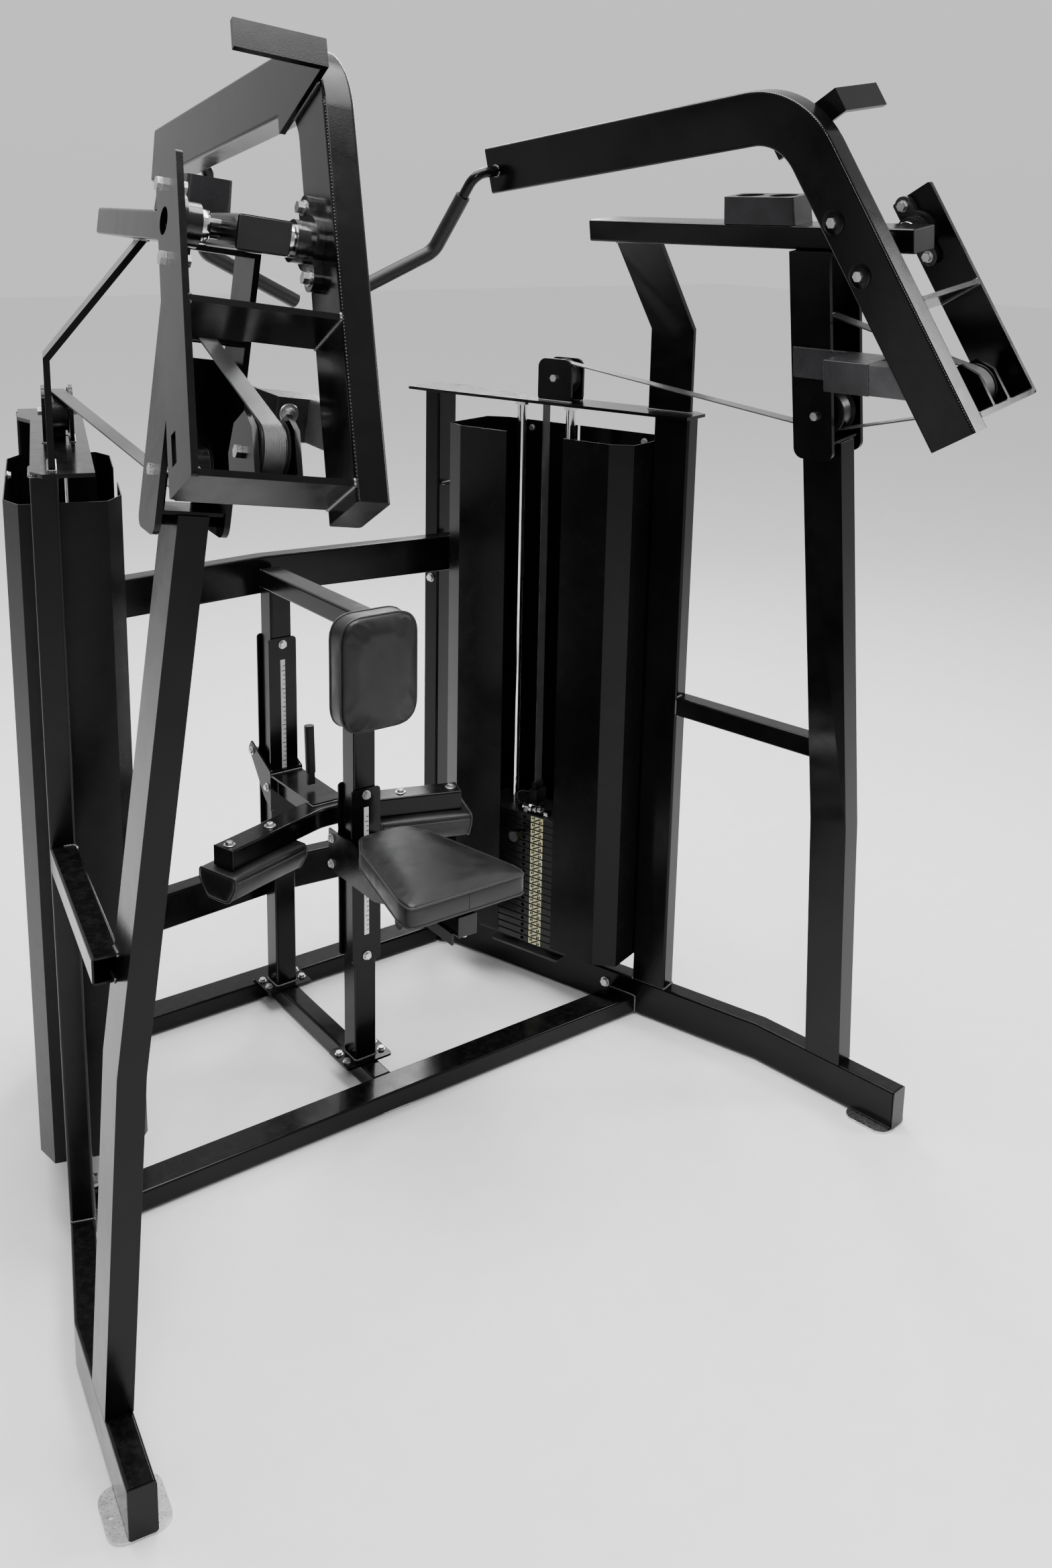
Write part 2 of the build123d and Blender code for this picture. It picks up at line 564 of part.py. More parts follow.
def rung(along, low, high):
    """A plate across the lever from the tube to the outboard plate, square to the lower leg."""
    ends = [leg(along, low), leg(along, high)]
    return Pos(0, 0, span[0]) * raise_up(strip(ends, 10), span[1] - span[0])


yoke += rung(153, ARM_AHEAD - 50, ARM_AHEAD + 50) + rung(ARM_TOE - 27, ARM_AHEAD - 50, ARM_AHEAD + 50)
cheek_line = [leg(ARM_TOE - 32, -38), leg(ARM_TOE - 32, 62), leg(330, 62), leg(296, 38), leg(296, -8),
              leg(330, -38)]
for k in (-1, 1):
    cheek = Pos(0, 0, k * 30 - 4) * raise_up(make_face(Polyline(*cheek_line, close=True)), 8)
    yoke += cheek
yoke -= Pos(*ARM_PULLEY) * Cylinder(5, 120)
add_pair("arm_yoke", LEVER.location * yoke)
axle_arm = axle(lever_axle(*ARM_PULLEY), 34.1)

# Oval flanged bearings on the shaft, one inside the tube's face and one inside the yoke plate.
c30, s30 = unit(ARM_ANGLE)


def flange_bearing(face, outward):
    """Housing on a flat face at level face; outward is +1 or -1 along the shaft."""
    lobes = Circle(42)
    for k in (-1, 1):
        lobes += Pos(*leg(k * 59, 0)) * Circle(20)
    web = strip([leg(-59, 0), leg(59, 0)], 40)
    foot = raise_up(lobes + web, 14)
    hub = Pos(0, 0, 14) * extrude(Circle(32), 24)
    collar = Pos(0, 0, 38) * extrude(Circle(24), 12)
    shape = foot + hub + collar - Cylinder(SHAFT_D / 2 + 0.05, 400)
    bolts = [Pos(*leg(k * 59, 0), 14) * (extrude(Circle(12), 2)
             + Pos(0, 0, 2) * extrude(RegularPolygon(10, 6), 9)) for k in (-1, 1)]
    shape = group([shape, *bolts])
    if outward < 0:
        return Pos(0, 0, face) * mirror(shape, about=Plane.XY)
    return Pos(0, 0, face) * shape


bearings = [flange_bearing(ARM_A - TUBE_W / 2, -1), flange_bearing(-YOKE_A, 1)]
outer_heads = []
for k in (-1, 1):
    disc = Pos(*leg(k * 59, 0), ARM_A + TUBE_W / 2) * extrude(Circle(17), 2)
    outer_heads.append(disc + Pos(*leg(k * 59, 0), ARM_A + TUBE_W / 2 + 2) * (
        extrude(RegularPolygon(11, 6), 9)))
    outer_heads.append(Pos(*leg(k * 59, 0), -YOKE_A - 10 - 9) * extrude(RegularPolygon(11, 6), 9))
add_pair("arm_bearings", LEVER.location * group(bearings + outer_heads + [LEVER.location.inverse() * axle_arm]))

shaft = Pos(0, 0, -YOKE_A + 1) * extrude(Circle(SHAFT_D / 2), YOKE_A - 2 + ARM_A - TUBE_W / 2)
add("arm_shafts", group(both(LEVER.location * shaft)))

# Handle: a stub from the lever's inner face, an elbow, a steep grip and a shallow inward grip.
stub = lever(-980, 153, ARM_A + TUBE_W / 2)
elbow = lever(-988, 152, ARM_A + TUBE_W / 2 + 62)
knee = Vector(300, 415, 2062)
end = knee + Vector(-0.893, 0.146, -0.425) * 265
bar = round_bar([stub, elbow, knee, end], BAR_R, 42) - arm_shape
add_pair("handle_bar", bar)
grip_start = elbow + (knee - elbow).normalized() * 62
sleeve = round_bar([grip_start, knee, end + (end - knee).normalized() * 5], GRIP_R, 42)
add_pair("handle_grip", sleeve - round_bar([elbow, knee, end], BAR_R, 42))

# Stop: a bracket on the pulley box carries a block and a bumper that the lever rests on.
stop_u = (-292, -226)
stop = block((UPRIGHT_F - 40, 45), stop_u, (BOX_W / 2, BOX_W / 2 + 8))
stop += block((-62, 45), stop_u, (BOX_W / 2 + 8, ARM_A + 22))
add("arm_stops", group(both(LEVER.location * stop)))
cn, sn = unit(ARM_ANGLE)


def rest_face(u):
    return (ARM_AHEAD - ARM_D / 2 - 0.5 - u * sn) / cn


bumper = slab([(45, stop_u[0]), (45, stop_u[1]), (rest_face(stop_u[1]), stop_u[1]),
               (rest_face(stop_u[0]), stop_u[0])], (ARM_A - 22, ARM_A + 20))
bumper = fillet(bumper.edges().filter_by(Axis.X), 5)
add("stop_bumpers", group(both(LEVER.location * bumper)))

# Accessory tray on the top beam, with two oval cups.
tray_mid = -302
tray_low = BAR_H / 2
foot_face = Pos(tray_mid, 0, 0) * RectangleRounded(188, 78, 10)
tray = extrude(foot_face, 58, taper=3)
for k in (-1, 1):
    tray -= Pos(tray_mid + k * 44, 0, 18) * extrude(Ellipse(34, 25), 60)
tray_plane = Plane(origin=lever(0, tray_low), x_dir=FORWARD, z_dir=RISE)
add("accessory_trays", group(both(tray_plane.location * tray)))

# ---------------------------------------------------------------- seat and chest pad frame
post_low = FOOT_T + BAR_H
link_z = (1185, 1235)


def post(y, depth, top):
    shell = extrude(RectangleRounded(POST_W, depth, CORNER), top - post_low - 6)
    bore = extrude(Rectangle(POST_W - 2 * WALL, depth - 2 * WALL), top - post_low - 6)
    foot = extrude(RectangleRounded(POST_W + 70, depth + 40, 8), 6)
    return Pos(0, y, post_low) * foot + Pos(0, y, post_low + 6) * (shell - bore)


add("rear_post", post(REAR_POST_Y, POST_W, link_z[0]))
add("seat_post", post(SEAT_POST_Y, POST_W, link_z[0]))
link_mid = sum(link_z) / 2
link = tube([(0, REAR_POST_Y + 30, link_mid), (0, SEAT_POST_Y - 30, link_mid)], Vector(1, 0, 0),
            POST_W, 50)
link += block((-50, 50), (SEAT_POST_Y - 36, SEAT_POST_Y - 30), (1000, 1235))
add("chest_pad_arm", link)
chest = Pos(0, 195, 1103) * Box(212, 78, 286)
chest = fillet(chest.edges().filter_by(Axis.Y), 45)
chest = fillet(chest.faces().sort_by(Axis.Y)[0].edges(), 16)
add("chest_pad", chest)

SCALE_T = 5
scale = []
for y, depth, z in ((REAR_POST_Y, POST_W, (515, 1060)), (SEAT_POST_Y, POST_W, (330, 790))):
    for k in (-1, 1):
        face_y = y + k * (depth / 2 + SCALE_T / 2)
        sheet = Pos(0, face_y, sum(z) / 2) * Box(80, SCALE_T, z[1] - z[0])
        scale.append(fillet(sheet.edges().filter_by(Axis.Y), 10))
add("scale_plates", group(scale))

# Seat carriage: two cheeks and cross plates round the post, and a tube under the seat.
GAP = 1.5
cheek_x = 40 + GAP
back_y, front_y = SEAT_POST_Y + 35 + GAP, SEAT_POST_Y - 35 - GAP
seat_low = SEAT_TOP - 66
carriage = []
for k in (-1, 1):
    side = slab([(-15, seat_low - 2), (front_y - 60, seat_low - 2), (front_y, seat_low + 12),
                 (back_y + 32, seat_low + 12), (back_y + 32, seat_low - 95), (120, seat_low - 95),
                 (-15, seat_low - 56)], (0, 6))
    side = Plane(origin=(k * (cheek_x + 3) - 3, 0, 0), x_dir=(0, 1, 0), z_dir=(1, 0, 0)).location * side
    carriage.append(side)
frame_block = carriage[0] + carriage[1]
for y0, y1 in ((back_y, back_y + 10), (front_y - 10, front_y)):
    frame_block += block((-cheek_x, cheek_x), (y0, y1), (seat_low - 90, seat_low - 8))
arm_tube_z = seat_low - 2 - 25
seat_tube = tube([(0, SEAT_FRONT + 12, seat_low - 27), (0, front_y - 10, seat_low - 27)], Vector(1, 0, 0),
                 50, 50)
seat_tube += block((-21, 21), (SEAT_FRONT + 12, SEAT_FRONT + 16), (seat_low - 48, seat_low - 6))
frame_block += seat_tube
frame_block += block((-90, 90), (-150, 60), (seat_low - 2, seat_low))
add("seat_carriage", frame_block)

half_seat = [(158, SEAT_FRONT), (158, -165), (98, 105), (62, 168)]
seat_outline = half_seat + [(-x, y) for x, y in reversed(half_seat)]
seat = raise_up(make_face(Polyline(*seat_outline, close=True)), 66)
seat = fillet(seat.edges().filter_by(Axis.Z).group_by(Axis.Y)[0], 42)
seat = fillet(seat.edges().filter_by(Axis.Z).group_by(Axis.Y)[-1], 25)
seat = fillet(seat.faces().sort_by(Axis.Z)[-1].edges(), 12)
add("seat_pad", Pos(0, 0, seat_low) * seat)

# Seat release: a lever with a round grip, hung under the front of the seat tube.
lever_y = SEAT_FRONT + 40
seat_lever = block((-31, -26), (lever_y - 14, lever_y + 130), (seat_low - 74, seat_low - 46))
seat_lever += Plane(origin=(-26, lever_y + 118, seat_low - 60), z_dir=(-1, 0, 0)).location * (
    extrude(Circle(16), 62))
add("seat_lever", seat_lever)

# ---------------------------------------------------------------- knee hold-down
knee_y = 442
vee_y = 0.3386
knee_ends = (330, knee_y - 330 * vee_y)
knee_path = [(-knee_ends[0], knee_ends[1], KNEE_Z), (-40, knee_y - 40 * vee_y, KNEE_Z),
             (40, knee_y - 40 * vee_y, KNEE_Z), (knee_ends[0], knee_ends[1], KNEE_Z)]
yoke_tube = tube(knee_path, Vector(0, 0, 1), 52, 66, radius=150)
rk_front, rk_back = REAR_POST_Y - 35 - GAP, REAR_POST_Y + 35 + GAP
neck_lim = (KNEE_Z - 26, KNEE_Z + 26)
carrier = block((-cheek_x, cheek_x), (rk_front - 10, rk_front), (KNEE_Z - 70, KNEE_Z + 40))
carrier += block((-cheek_x, cheek_x), (rk_back, rk_back + 10), (KNEE_Z + 10, KNEE_Z + 80))
for k in (-1, 1):
    side = slab([(rk_front - 10, KNEE_Z - 70), (rk_front - 10, KNEE_Z + 40), (rk_back + 30, KNEE_Z + 92),
                 (rk_back + 44, KNEE_Z + 70), (rk_front + 30, KNEE_Z - 40)], (0, 6))
    carrier += Plane(origin=(k * (cheek_x + 3) - 3, 0, 0), x_dir=(0, 1, 0), z_dir=(1, 0, 0)).location * side
neck = block((-25, 25), (knee_y - 10, rk_front - 10), neck_lim)
neck_plate = block((-45, 45), (knee_y - 20, rk_front - 10), (KNEE_Z + 26, KNEE_Z + 32))
knee_frame = yoke_tube + (carrier + neck + neck_plate)
add("knee_carriage", knee_frame)

pads = []
pad_dir = Vector(1, -vee_y, 0).normalized()
for k in (-1, 1):
    start = Vector(118, knee_y - 118 * vee_y, KNEE_Z - 26)
    profile = [(-66, 0), (66, 0), (66, -30), (40, -78), (-40, -78), (-66, -30)]
    face = fillet(make_face(Polyline(*profile, close=True)).vertices(), 14)
    plane = Plane(origin=start, x_dir=Vector(0, 0, 1).cross(pad_dir), z_dir=pad_dir)
    pad = plane.location * raise_up(face, 256)
    pads.append(pad if k > 0 else mirrored(pad))
add("knee_pads", group(pads))

knee_lever = Plane(origin=(0, 515, KNEE_Z + 32), z_dir=(0, 0.05, 1)).location * (
    Pos(0, 0, 12) * extrude(Rectangle(8, 20), 40) + Pos(0, 0, 45) * extrude(Circle(13), 125))
add("knee_lever", knee_lever)

# ---------------------------------------------------------------- fasteners of the fixed frame
bolts = []
for s in (-420, 60):
    side = tower(s, BASE_N - TUBE_W / 2, FOOT_T + 60)
    bolts += both(hex_bolt(side, (-ct, -st, 0), 12))
for z in (1125, 430):
    bolts += both(hex_bolt(tower(-575, BASE_N - 25, z), (-ct, -st, 0), 11))
for s, k in ((-300, 1), (60, 1)):
    bolts += both(hex_bolt(tower(s, TOWER_N + TOWER_HALF - 1, SHROUD_Z[1] - 22), (-ct, -st, 0), 8))
for y, depth in ((REAR_POST_Y, POST_W), (SEAT_POST_Y, POST_W)):
    for kx in (-1, 1):
        for ky in (-1, 1):
            place = Vector(kx * (POST_W / 2 + 20), y + ky * depth / 3, post_low + 6)
            bolts.append(hex_bolt(place, (0, 0, 1), 9))
for y, depth, z in ((REAR_POST_Y, POST_W, (536, 1042)), (SEAT_POST_Y, POST_W, (348, 774))):
    for level in z:
        bolts.append(hex_bolt(Vector(0, y - depth / 2 - SCALE_T, level), (0, -1, 0), 10))
add("frame_bolts", group(bolts + axles))

# ---------------------------------------------------------------- write the parts
for name, shape in NODES.items():
    export_step(Pos(0, -DEPTH_MIDDLE, 0) * shape, f"parts/{name}.step")
print(len(NODES), "nodes written")
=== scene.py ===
"""Looks for the twin-stack pulldown machine: materials, pads, belts, welds, labels, light and camera."""

import json
from math import acos, atan2, cos, pi, radians, sin

import bmesh
import bpy
from mathutils import Matrix, Vector
from mathutils.bvhtree import BVHTree


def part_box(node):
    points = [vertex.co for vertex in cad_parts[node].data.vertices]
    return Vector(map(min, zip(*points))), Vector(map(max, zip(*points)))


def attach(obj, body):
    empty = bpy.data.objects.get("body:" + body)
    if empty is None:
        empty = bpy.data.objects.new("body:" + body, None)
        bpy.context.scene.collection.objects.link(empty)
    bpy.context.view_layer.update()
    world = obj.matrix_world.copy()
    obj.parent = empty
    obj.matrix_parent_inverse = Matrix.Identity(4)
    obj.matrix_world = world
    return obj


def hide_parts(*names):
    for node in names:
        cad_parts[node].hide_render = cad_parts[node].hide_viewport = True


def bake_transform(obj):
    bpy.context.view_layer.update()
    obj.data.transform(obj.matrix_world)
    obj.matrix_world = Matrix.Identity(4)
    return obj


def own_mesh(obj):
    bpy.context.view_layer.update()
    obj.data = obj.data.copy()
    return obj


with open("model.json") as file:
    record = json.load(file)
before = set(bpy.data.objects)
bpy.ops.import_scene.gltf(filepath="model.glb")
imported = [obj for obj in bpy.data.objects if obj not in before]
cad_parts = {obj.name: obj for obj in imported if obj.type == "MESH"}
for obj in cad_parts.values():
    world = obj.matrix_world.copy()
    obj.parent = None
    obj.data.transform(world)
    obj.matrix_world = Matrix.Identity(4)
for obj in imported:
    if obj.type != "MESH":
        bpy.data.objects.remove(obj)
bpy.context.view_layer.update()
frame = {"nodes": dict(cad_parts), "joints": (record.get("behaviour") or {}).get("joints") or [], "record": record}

# ---------------------------------------------------------------- places, read from the frame
joints = {j["name"]: j for j in frame["joints"]}
SIDES = {"right": 1, "left": -1}
JOIN = 0.00003                                            # vertices nearer than this are one
UP = Vector((0, 0, 1))
SHAFT = Vector(joints["arm_right"]["pos_m"])
AXIS = -Vector(joints["arm_right"]["axis"])               # along the right shaft, outboard
FORWARD = Vector((AXIS.y, -AXIS.x, 0)).normalized()       # across the shaft, towards the user's back
RISE = FORWARD.cross(AXIS).normalized()                   # up the leaning lever frame
OUT = -Vector(joints["selector_pin_right"]["axis"])       # across the right tower, outboard
FRONT = Vector((OUT.y, -OUT.x, 0))                        # along the right tower, towards the user's back
PULLEYS = {k: Vector(joints[k + "_pulley_right"]["pos_m"]) for k in ("stack", "post", "arm")}
post_low, post_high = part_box("seat_post")
DEPTH = (post_low[1] + post_high[1]) / 2 - 0.270          # the drawing datum, from the seat post

BELT_R, BELT_W, BELT_T = 0.0435, 0.030, 0.003             # middle of the belt on a pulley, width, thickness
BELT_ANCHOR = Vector((0.011, 0.210))                      # lever belt's end, from the post pulley
CLEVIS_DROP = 0.012                                       # lift belt's end, below the top of its stem
STACK_PULLEY_S = -0.135                                   # the stack pulley's place along the tower
STACK_LOW, PITCH, PLATES, LIFTED_FROM = 0.140, 0.0204, 19, 16
STACK_TOP = STACK_LOW + PITCH * PLATES
LEG = radians(30)                                         # lever's lower leg, from upright
ARM_IN, ARM_HALF = 0.130, 0.025                           # lever tube, inboard of the shaft's middle
BEAM_REAR, BEAM_FRONT = -0.7950, 0.0772                   # end plugs of the top beam, from the shaft
KNEE_SLOPE = 0.3386                                       # how fast the knee tube's arms run back
KNEE_MIDDLE = 0.442 + DEPTH                               # where those arms meet
KNEE_ALONG = Vector((1, -KNEE_SLOPE, 0)).normalized()
KNEE_ACROSS = UP.cross(KNEE_ALONG).normalized()


def lever(f, u, inboard=0.0):
    """A point on the right lever frame: f across and u up from the shaft's middle."""
    return SHAFT + FORWARD * f + RISE * u - AXIS * inboard


def flat(p):
    """A point's place in the lever plane, across and up."""
    d = p - SHAFT
    return Vector((d.dot(FORWARD), d.dot(RISE)))


def leg(along, across):
    """A place on the lever's sloping lower leg, across and up."""
    return along * sin(LEG) + across * cos(LEG), -along * cos(LEG) + across * sin(LEG)


tower_origin = PULLEYS["stack"] - FRONT * STACK_PULLEY_S
tower_origin.z = 0


def tower(s, n, z):
    """s along the tower, n from the stack's middle plane outward."""
    return tower_origin + FRONT * s + OUT * n + UP * z


def knee_tube(x, z):
    """A point on the middle plane of the knee tube's right arm."""
    return Vector((x, KNEE_MIDDLE - x * KNEE_SLOPE, z))


# ---------------------------------------------------------------- materials
class Graph:
    """A node material built up step by step."""

    def __init__(self, name):
        self.mat = bpy.data.materials.new(name)
        self.mat.use_nodes = True
        self.tree = self.mat.node_tree
        self.shader = self.tree.nodes["Principled BSDF"]
        self.coords = self.add("ShaderNodeTexCoord").outputs["Object"]

    def add(self, kind, **values):
        node = self.tree.nodes.new(kind)
        for key, value in values.items():
            setattr(node, key, value)
        return node

    def link(self, a, b):
        self.tree.links.new(a, b)

    def noise(self, scale, detail=4.0, rough=0.55, coords=None):
        node = self.add("ShaderNodeTexNoise")
        node.inputs["Scale"].default_value = scale
        node.inputs["Detail"].default_value = detail
        node.inputs["Roughness"].default_value = rough
        self.link(coords or self.coords, node.inputs["Vector"])
        return node.outputs["Fac"]

    def span(self, value, low, high, to_low, to_high):
        node = self.add("ShaderNodeMapRange")
        for key, v in zip(("From Min", "From Max", "To Min", "To Max"), (low, high, to_low, to_high)):
            node.inputs[key].default_value = v
        self.link(value, node.inputs["Value"])
        return node.outputs["Result"]

    def math(self, operation, a, b):
        node = self.add("ShaderNodeMath", operation=operation)
        for socket, v in zip(node.inputs, (a, b)):
            if isinstance(v, (int, float)):
                socket.default_value = v
            else:
                self.link(v, socket)
        return node.outputs[0]

    def mix(self, factor, a, b):
        node = self.add("ShaderNodeMix", data_type="RGBA")
        self.link(factor, node.inputs["Factor"])
        for socket, v in ((node.inputs[6], a), (node.inputs[7], b)):
            if isinstance(v, tuple):
                socket.default_value = (*v, 1)
            else:
                self.link(v, socket)
        return node.outputs[2]

    def bump(self, height, strength, distance, before=None):
        node = self.add("ShaderNodeBump")
        node.inputs["Strength"].default_value = strength
        node.inputs["Distance"].default_value = distance
        self.link(height, node.inputs["Height"])
        if before:
            self.link(before, node.inputs["Normal"])
        return node.outputs["Normal"]

    def finish(self, color=None, roughness=None, normal=None, **fixed):
        for key, v in (("Base Color", color), ("Roughness", roughness), ("Normal", normal)):
            if v is not None:
                self.link(v, self.shader.inputs[key])
        for key, v in fixed.items():
            self.shader.inputs[key.replace("_", " ")].default_value = v
        return self.mat


def coated(name, dark, light, rough, peel=0.10, grain=420.0, coat=0.0, dust=0.12, shine=0.3):
    """Paint over steel: mottled tone, orange peel, and a little settled dust on what faces up."""
    g = Graph(name)
    tone = g.mix(g.span(g.noise(7.0, 6.0), 0.35, 0.7, 0, 1), dark, light)
    normal_z = g.add("ShaderNodeSeparateXYZ")
    g.link(g.add("ShaderNodeNewGeometry").outputs["Normal"], normal_z.inputs[0])
    facing = g.span(normal_z.outputs["Z"], 0.6, 1.0, 0, dust)
    specks = g.span(g.noise(60.0, 8.0, 0.7), 0.45, 0.75, 0, 1)
    colour = g.mix(g.math("MULTIPLY", facing, specks), tone, (0.06, 0.06, 0.058))
    smear = g.span(g.noise(22.0, 5.0, 0.65), 0.3, 0.75, rough[0], rough[1])
    bump = g.bump(g.noise(grain, 2.0, 0.4), peel, 0.0006)
    return g.finish(colour, smear, bump, Coat_Weight=coat, Coat_Roughness=0.08, Specular_IOR_Level=shine)


def metal(name, dark, light, rough, grain=900.0, strength=0.03):
    """Bare or plated steel, brushed along its length."""
    g = Graph(name)
    stretch = g.add("ShaderNodeMapping")
    stretch.inputs["Scale"].default_value = (1.0, 1.0, 0.06)
    g.link(g.coords, stretch.inputs["Vector"])
    brushed = g.noise(grain, 3.0, 0.6, stretch.outputs["Vector"])
    colour = g.mix(g.span(g.noise(35.0, 6.0, 0.7), 0.35, 0.7, 0, 1), dark, light)
    roughness = g.span(brushed, 0.3, 0.7, rough[0], rough[1])
    return g.finish(colour, roughness, g.bump(brushed, strength, 0.0003), Metallic=1.0)


def vinyl(name, dark, light):
    """Upholstery vinyl: a leather grain of small cells, creased by a slower noise."""
    g = Graph(name)
    cells = g.add("ShaderNodeTexVoronoi", feature="DISTANCE_TO_EDGE")
    cells.inputs["Scale"].default_value = 520.0
    g.link(g.coords, cells.inputs["Vector"])
    grain = g.span(cells.outputs["Distance"], 0.0, 0.35, 0, 1)
    folds = g.noise(28.0, 5.0, 0.6)
    colour = g.mix(g.span(g.noise(9.0, 6.0), 0.3, 0.7, 0, 1), dark, light)
    normal = g.bump(folds, 0.12, 0.002, g.bump(grain, 0.22, 0.0005))
    return g.finish(colour, g.span(folds, 0.3, 0.7, 0.32, 0.46), normal, Sheen_Weight=0.03,
                    Specular_IOR_Level=0.36)


def moulded(name, dark, light, rough, grain=260.0, strength=0.25):
    """Plastic or rubber with a fine, even texture."""
    g = Graph(name)
    colour = g.mix(g.span(g.noise(14.0, 6.0), 0.3, 0.7, 0, 1), dark, light)
    fine = g.noise(grain, 5.0, 0.65)
    return g.finish(colour, g.span(fine, 0.3, 0.7, rough[0], rough[1]), g.bump(fine, strength, 0.0008),
                    Specular_IOR_Level=0.3)


def woven(name, dark, light):
    """Belt webbing: ribs along its length crossed by a finer weft, on the ribbon's own coordinates."""
    g = Graph(name)
    uv = g.add("ShaderNodeTexCoord").outputs["UV"]
    waves = []
    for direction, scale in (("Y", 4.0), ("X", 110.0)):
        wave = g.add("ShaderNodeTexWave", bands_direction=direction)
        wave.inputs["Scale"].default_value = scale
        wave.inputs["Distortion"].default_value = 0.4
        g.link(uv, wave.inputs["Vector"])
        waves.append(wave.outputs["Fac"])
    weave = g.math("MULTIPLY", waves[0], waves[1])
    worn = g.span(g.noise(40.0, 7.0, 0.7), 0.35, 0.75, 0, 1)
    colour = g.mix(g.math("MAXIMUM", worn, weave), dark, light)
    return g.finish(colour, g.span(worn, 0, 1, 0.34, 0.5), g.bump(weave, 0.35, 0.0006))


PAINT = coated("powder_black", (0.0015, 0.0015, 0.0017), (0.0035, 0.0035, 0.004), (0.14, 0.24), shine=0.17)
SHEET = coated("sheet_black", (0.0015, 0.0015, 0.0017), (0.003, 0.003, 0.0034), (0.20, 0.30), peel=0.06,
               grain=300.0, dust=0.1, shine=0.16)
# Weld beads: the black paint in a lighter grey, and the lighter tone is a painted highlight; the strong coat and
# shine are real gloss.
WELD_BEAD_PAINTED_HIGHLIGHT = coated("weld_bead", (0.006, 0.006, 0.006), (0.05, 0.05, 0.052), (0.10, 0.22), peel=0.3, grain=700.0,
              coat=0.7, dust=0.0, shine=0.7)
IRON = coated("stack_iron", (0.004, 0.004, 0.0045), (0.010, 0.010, 0.011), (0.28, 0.42), peel=0.2, dust=0.2)
BLOCK = coated("gray_block", (0.012, 0.012, 0.013), (0.028, 0.028, 0.030), (0.22, 0.36), peel=0.2)
CHROME = metal("chrome", (0.62, 0.62, 0.63), (0.78, 0.78, 0.79), (0.06, 0.16))
ZINC = metal("zinc", (0.42, 0.42, 0.43), (0.66, 0.66, 0.66), (0.22, 0.42), 500.0, 0.08)
PLATE = metal("zinc_plate", (0.40, 0.40, 0.41), (0.68, 0.68, 0.68), (0.22, 0.46), 260.0, 0.1)
VINYL = vinyl("vinyl", (0.003, 0.003, 0.0032), (0.007, 0.007, 0.0075))
# Welt cord and seams: vinyl lighter than the cover, and the lighter tone is a painted highlight along them.
PIPING_PAINTED_HIGHLIGHT = vinyl("piping", (0.010, 0.010, 0.0105), (0.030, 0.030, 0.031))
PULLEY = moulded("pulley", (0.005, 0.005, 0.0055), (0.014, 0.014, 0.015), (0.24, 0.4))
CAST = coated("cast_bearing", (0.003, 0.003, 0.0033), (0.009, 0.009, 0.010), (0.14, 0.26), peel=0.5,
              grain=120.0, coat=0.2, shine=0.5)
STEEL = metal("dark_steel", (0.03, 0.03, 0.032), (0.07, 0.07, 0.072), (0.12, 0.25))
RUBBER = moulded("grip_rubber", (0.002, 0.002, 0.002), (0.006, 0.006, 0.006), (0.36, 0.52), 520.0, 0.45)
BUMPER = moulded("bumper", (0.030, 0.030, 0.032), (0.06, 0.06, 0.063), (0.5, 0.7))
TRAY = moulded("tray_plastic", (0.008, 0.008, 0.009), (0.018, 0.018, 0.02), (0.36, 0.52), 420.0, 0.4)
CAP = moulded("end_cap", (0.005, 0.005, 0.0055), (0.012, 0.012, 0.013), (0.32, 0.5), 380.0, 0.35)
BELT = woven("belt", (0.018, 0.018, 0.019), (0.065, 0.065, 0.068))
LABEL = moulded("label", (0.55, 0.53, 0.30), (0.68, 0.66, 0.42), (0.30, 0.42), 90.0, 0.05)
STRIP = moulded("scale_strip", (0.60, 0.60, 0.58), (0.74, 0.74, 0.72), (0.30, 0.45), 90.0, 0.05)
INK = moulded("ink", (0.012, 0.012, 0.012), (0.03, 0.03, 0.03), (0.4, 0.55), 200.0, 0.05)
FLOOR = moulded("floor", (0.88, 0.88, 0.88), (0.92, 0.92, 0.92), (0.6, 0.75), 30.0, 0.02)

# Finishes by material slot, then the nodes that differ, then the width of every rounded edge.
BY_SLOT = {"powder_black": PAINT, "sheet_black": SHEET, "stack_iron": IRON, "gray_block": BLOCK,
           "chrome": CHROME, "zinc_plate": PLATE, "vinyl": VINYL, "pulley": PULLEY, "cast_bearing": CAST,
           "grip_rubber": RUBBER, "bumper": BUMPER, "tray_plastic": TRAY, "belt": BELT}
BY_NODE = {"frame_bolts": ZINC, "scale_plates": PAINT, "arm_shafts": STEEL, "handle_bar_left": PAINT,
           "handle_bar_right": PAINT, "selector_pin_left": STEEL, "selector_pin_right": STEEL}
USUAL_EDGE = 0.0018
EDGE = {"accessory_trays": 0.004, "shrouds_left": 0, "shrouds_right": 0, "frame_bolts": 0.0007,
        "guide_rods": 0, "arm_shafts": 0, "resting_plates_left": 0, "resting_plates_right": 0,
        "lifted_stack_left": 0, "lifted_stack_right": 0, "handle_bar_left": 0, "handle_bar_right": 0}


def smooth(mesh, angle=35):
    mesh.shade_smooth()
    mesh.set_sharp_from_angle(angle=radians(angle))


def small_parts(mesh, limit):
    """Faces of every loose part of a mesh no larger than limit."""
    bm = bmesh.new()
    bm.from_mesh(mesh)
    original = bm.faces.layers.int.new("original")
    for i, face in enumerate(bm.faces):
        face[original] = i
    bmesh.ops.remove_doubles(bm, verts=bm.verts, dist=JOIN)
    seen, found = set(), []
    for first in bm.faces:
        if first in seen:
            continue
        part, stack = [], [first]
        seen.add(first)
        while stack:
            face = stack.pop()
            part.append(face)
            for edge in face.edges:
                for other in edge.link_faces:
                    if other not in seen:
                        seen.add(other)
                        stack.append(other)
        places = [v.co for face in part for v in face.verts]
        size = max(max(p[i] for p in places) - min(p[i] for p in places) for i in range(3))
        if size < limit:
            found += [face[original] for face in part]
    bm.free()
    return found


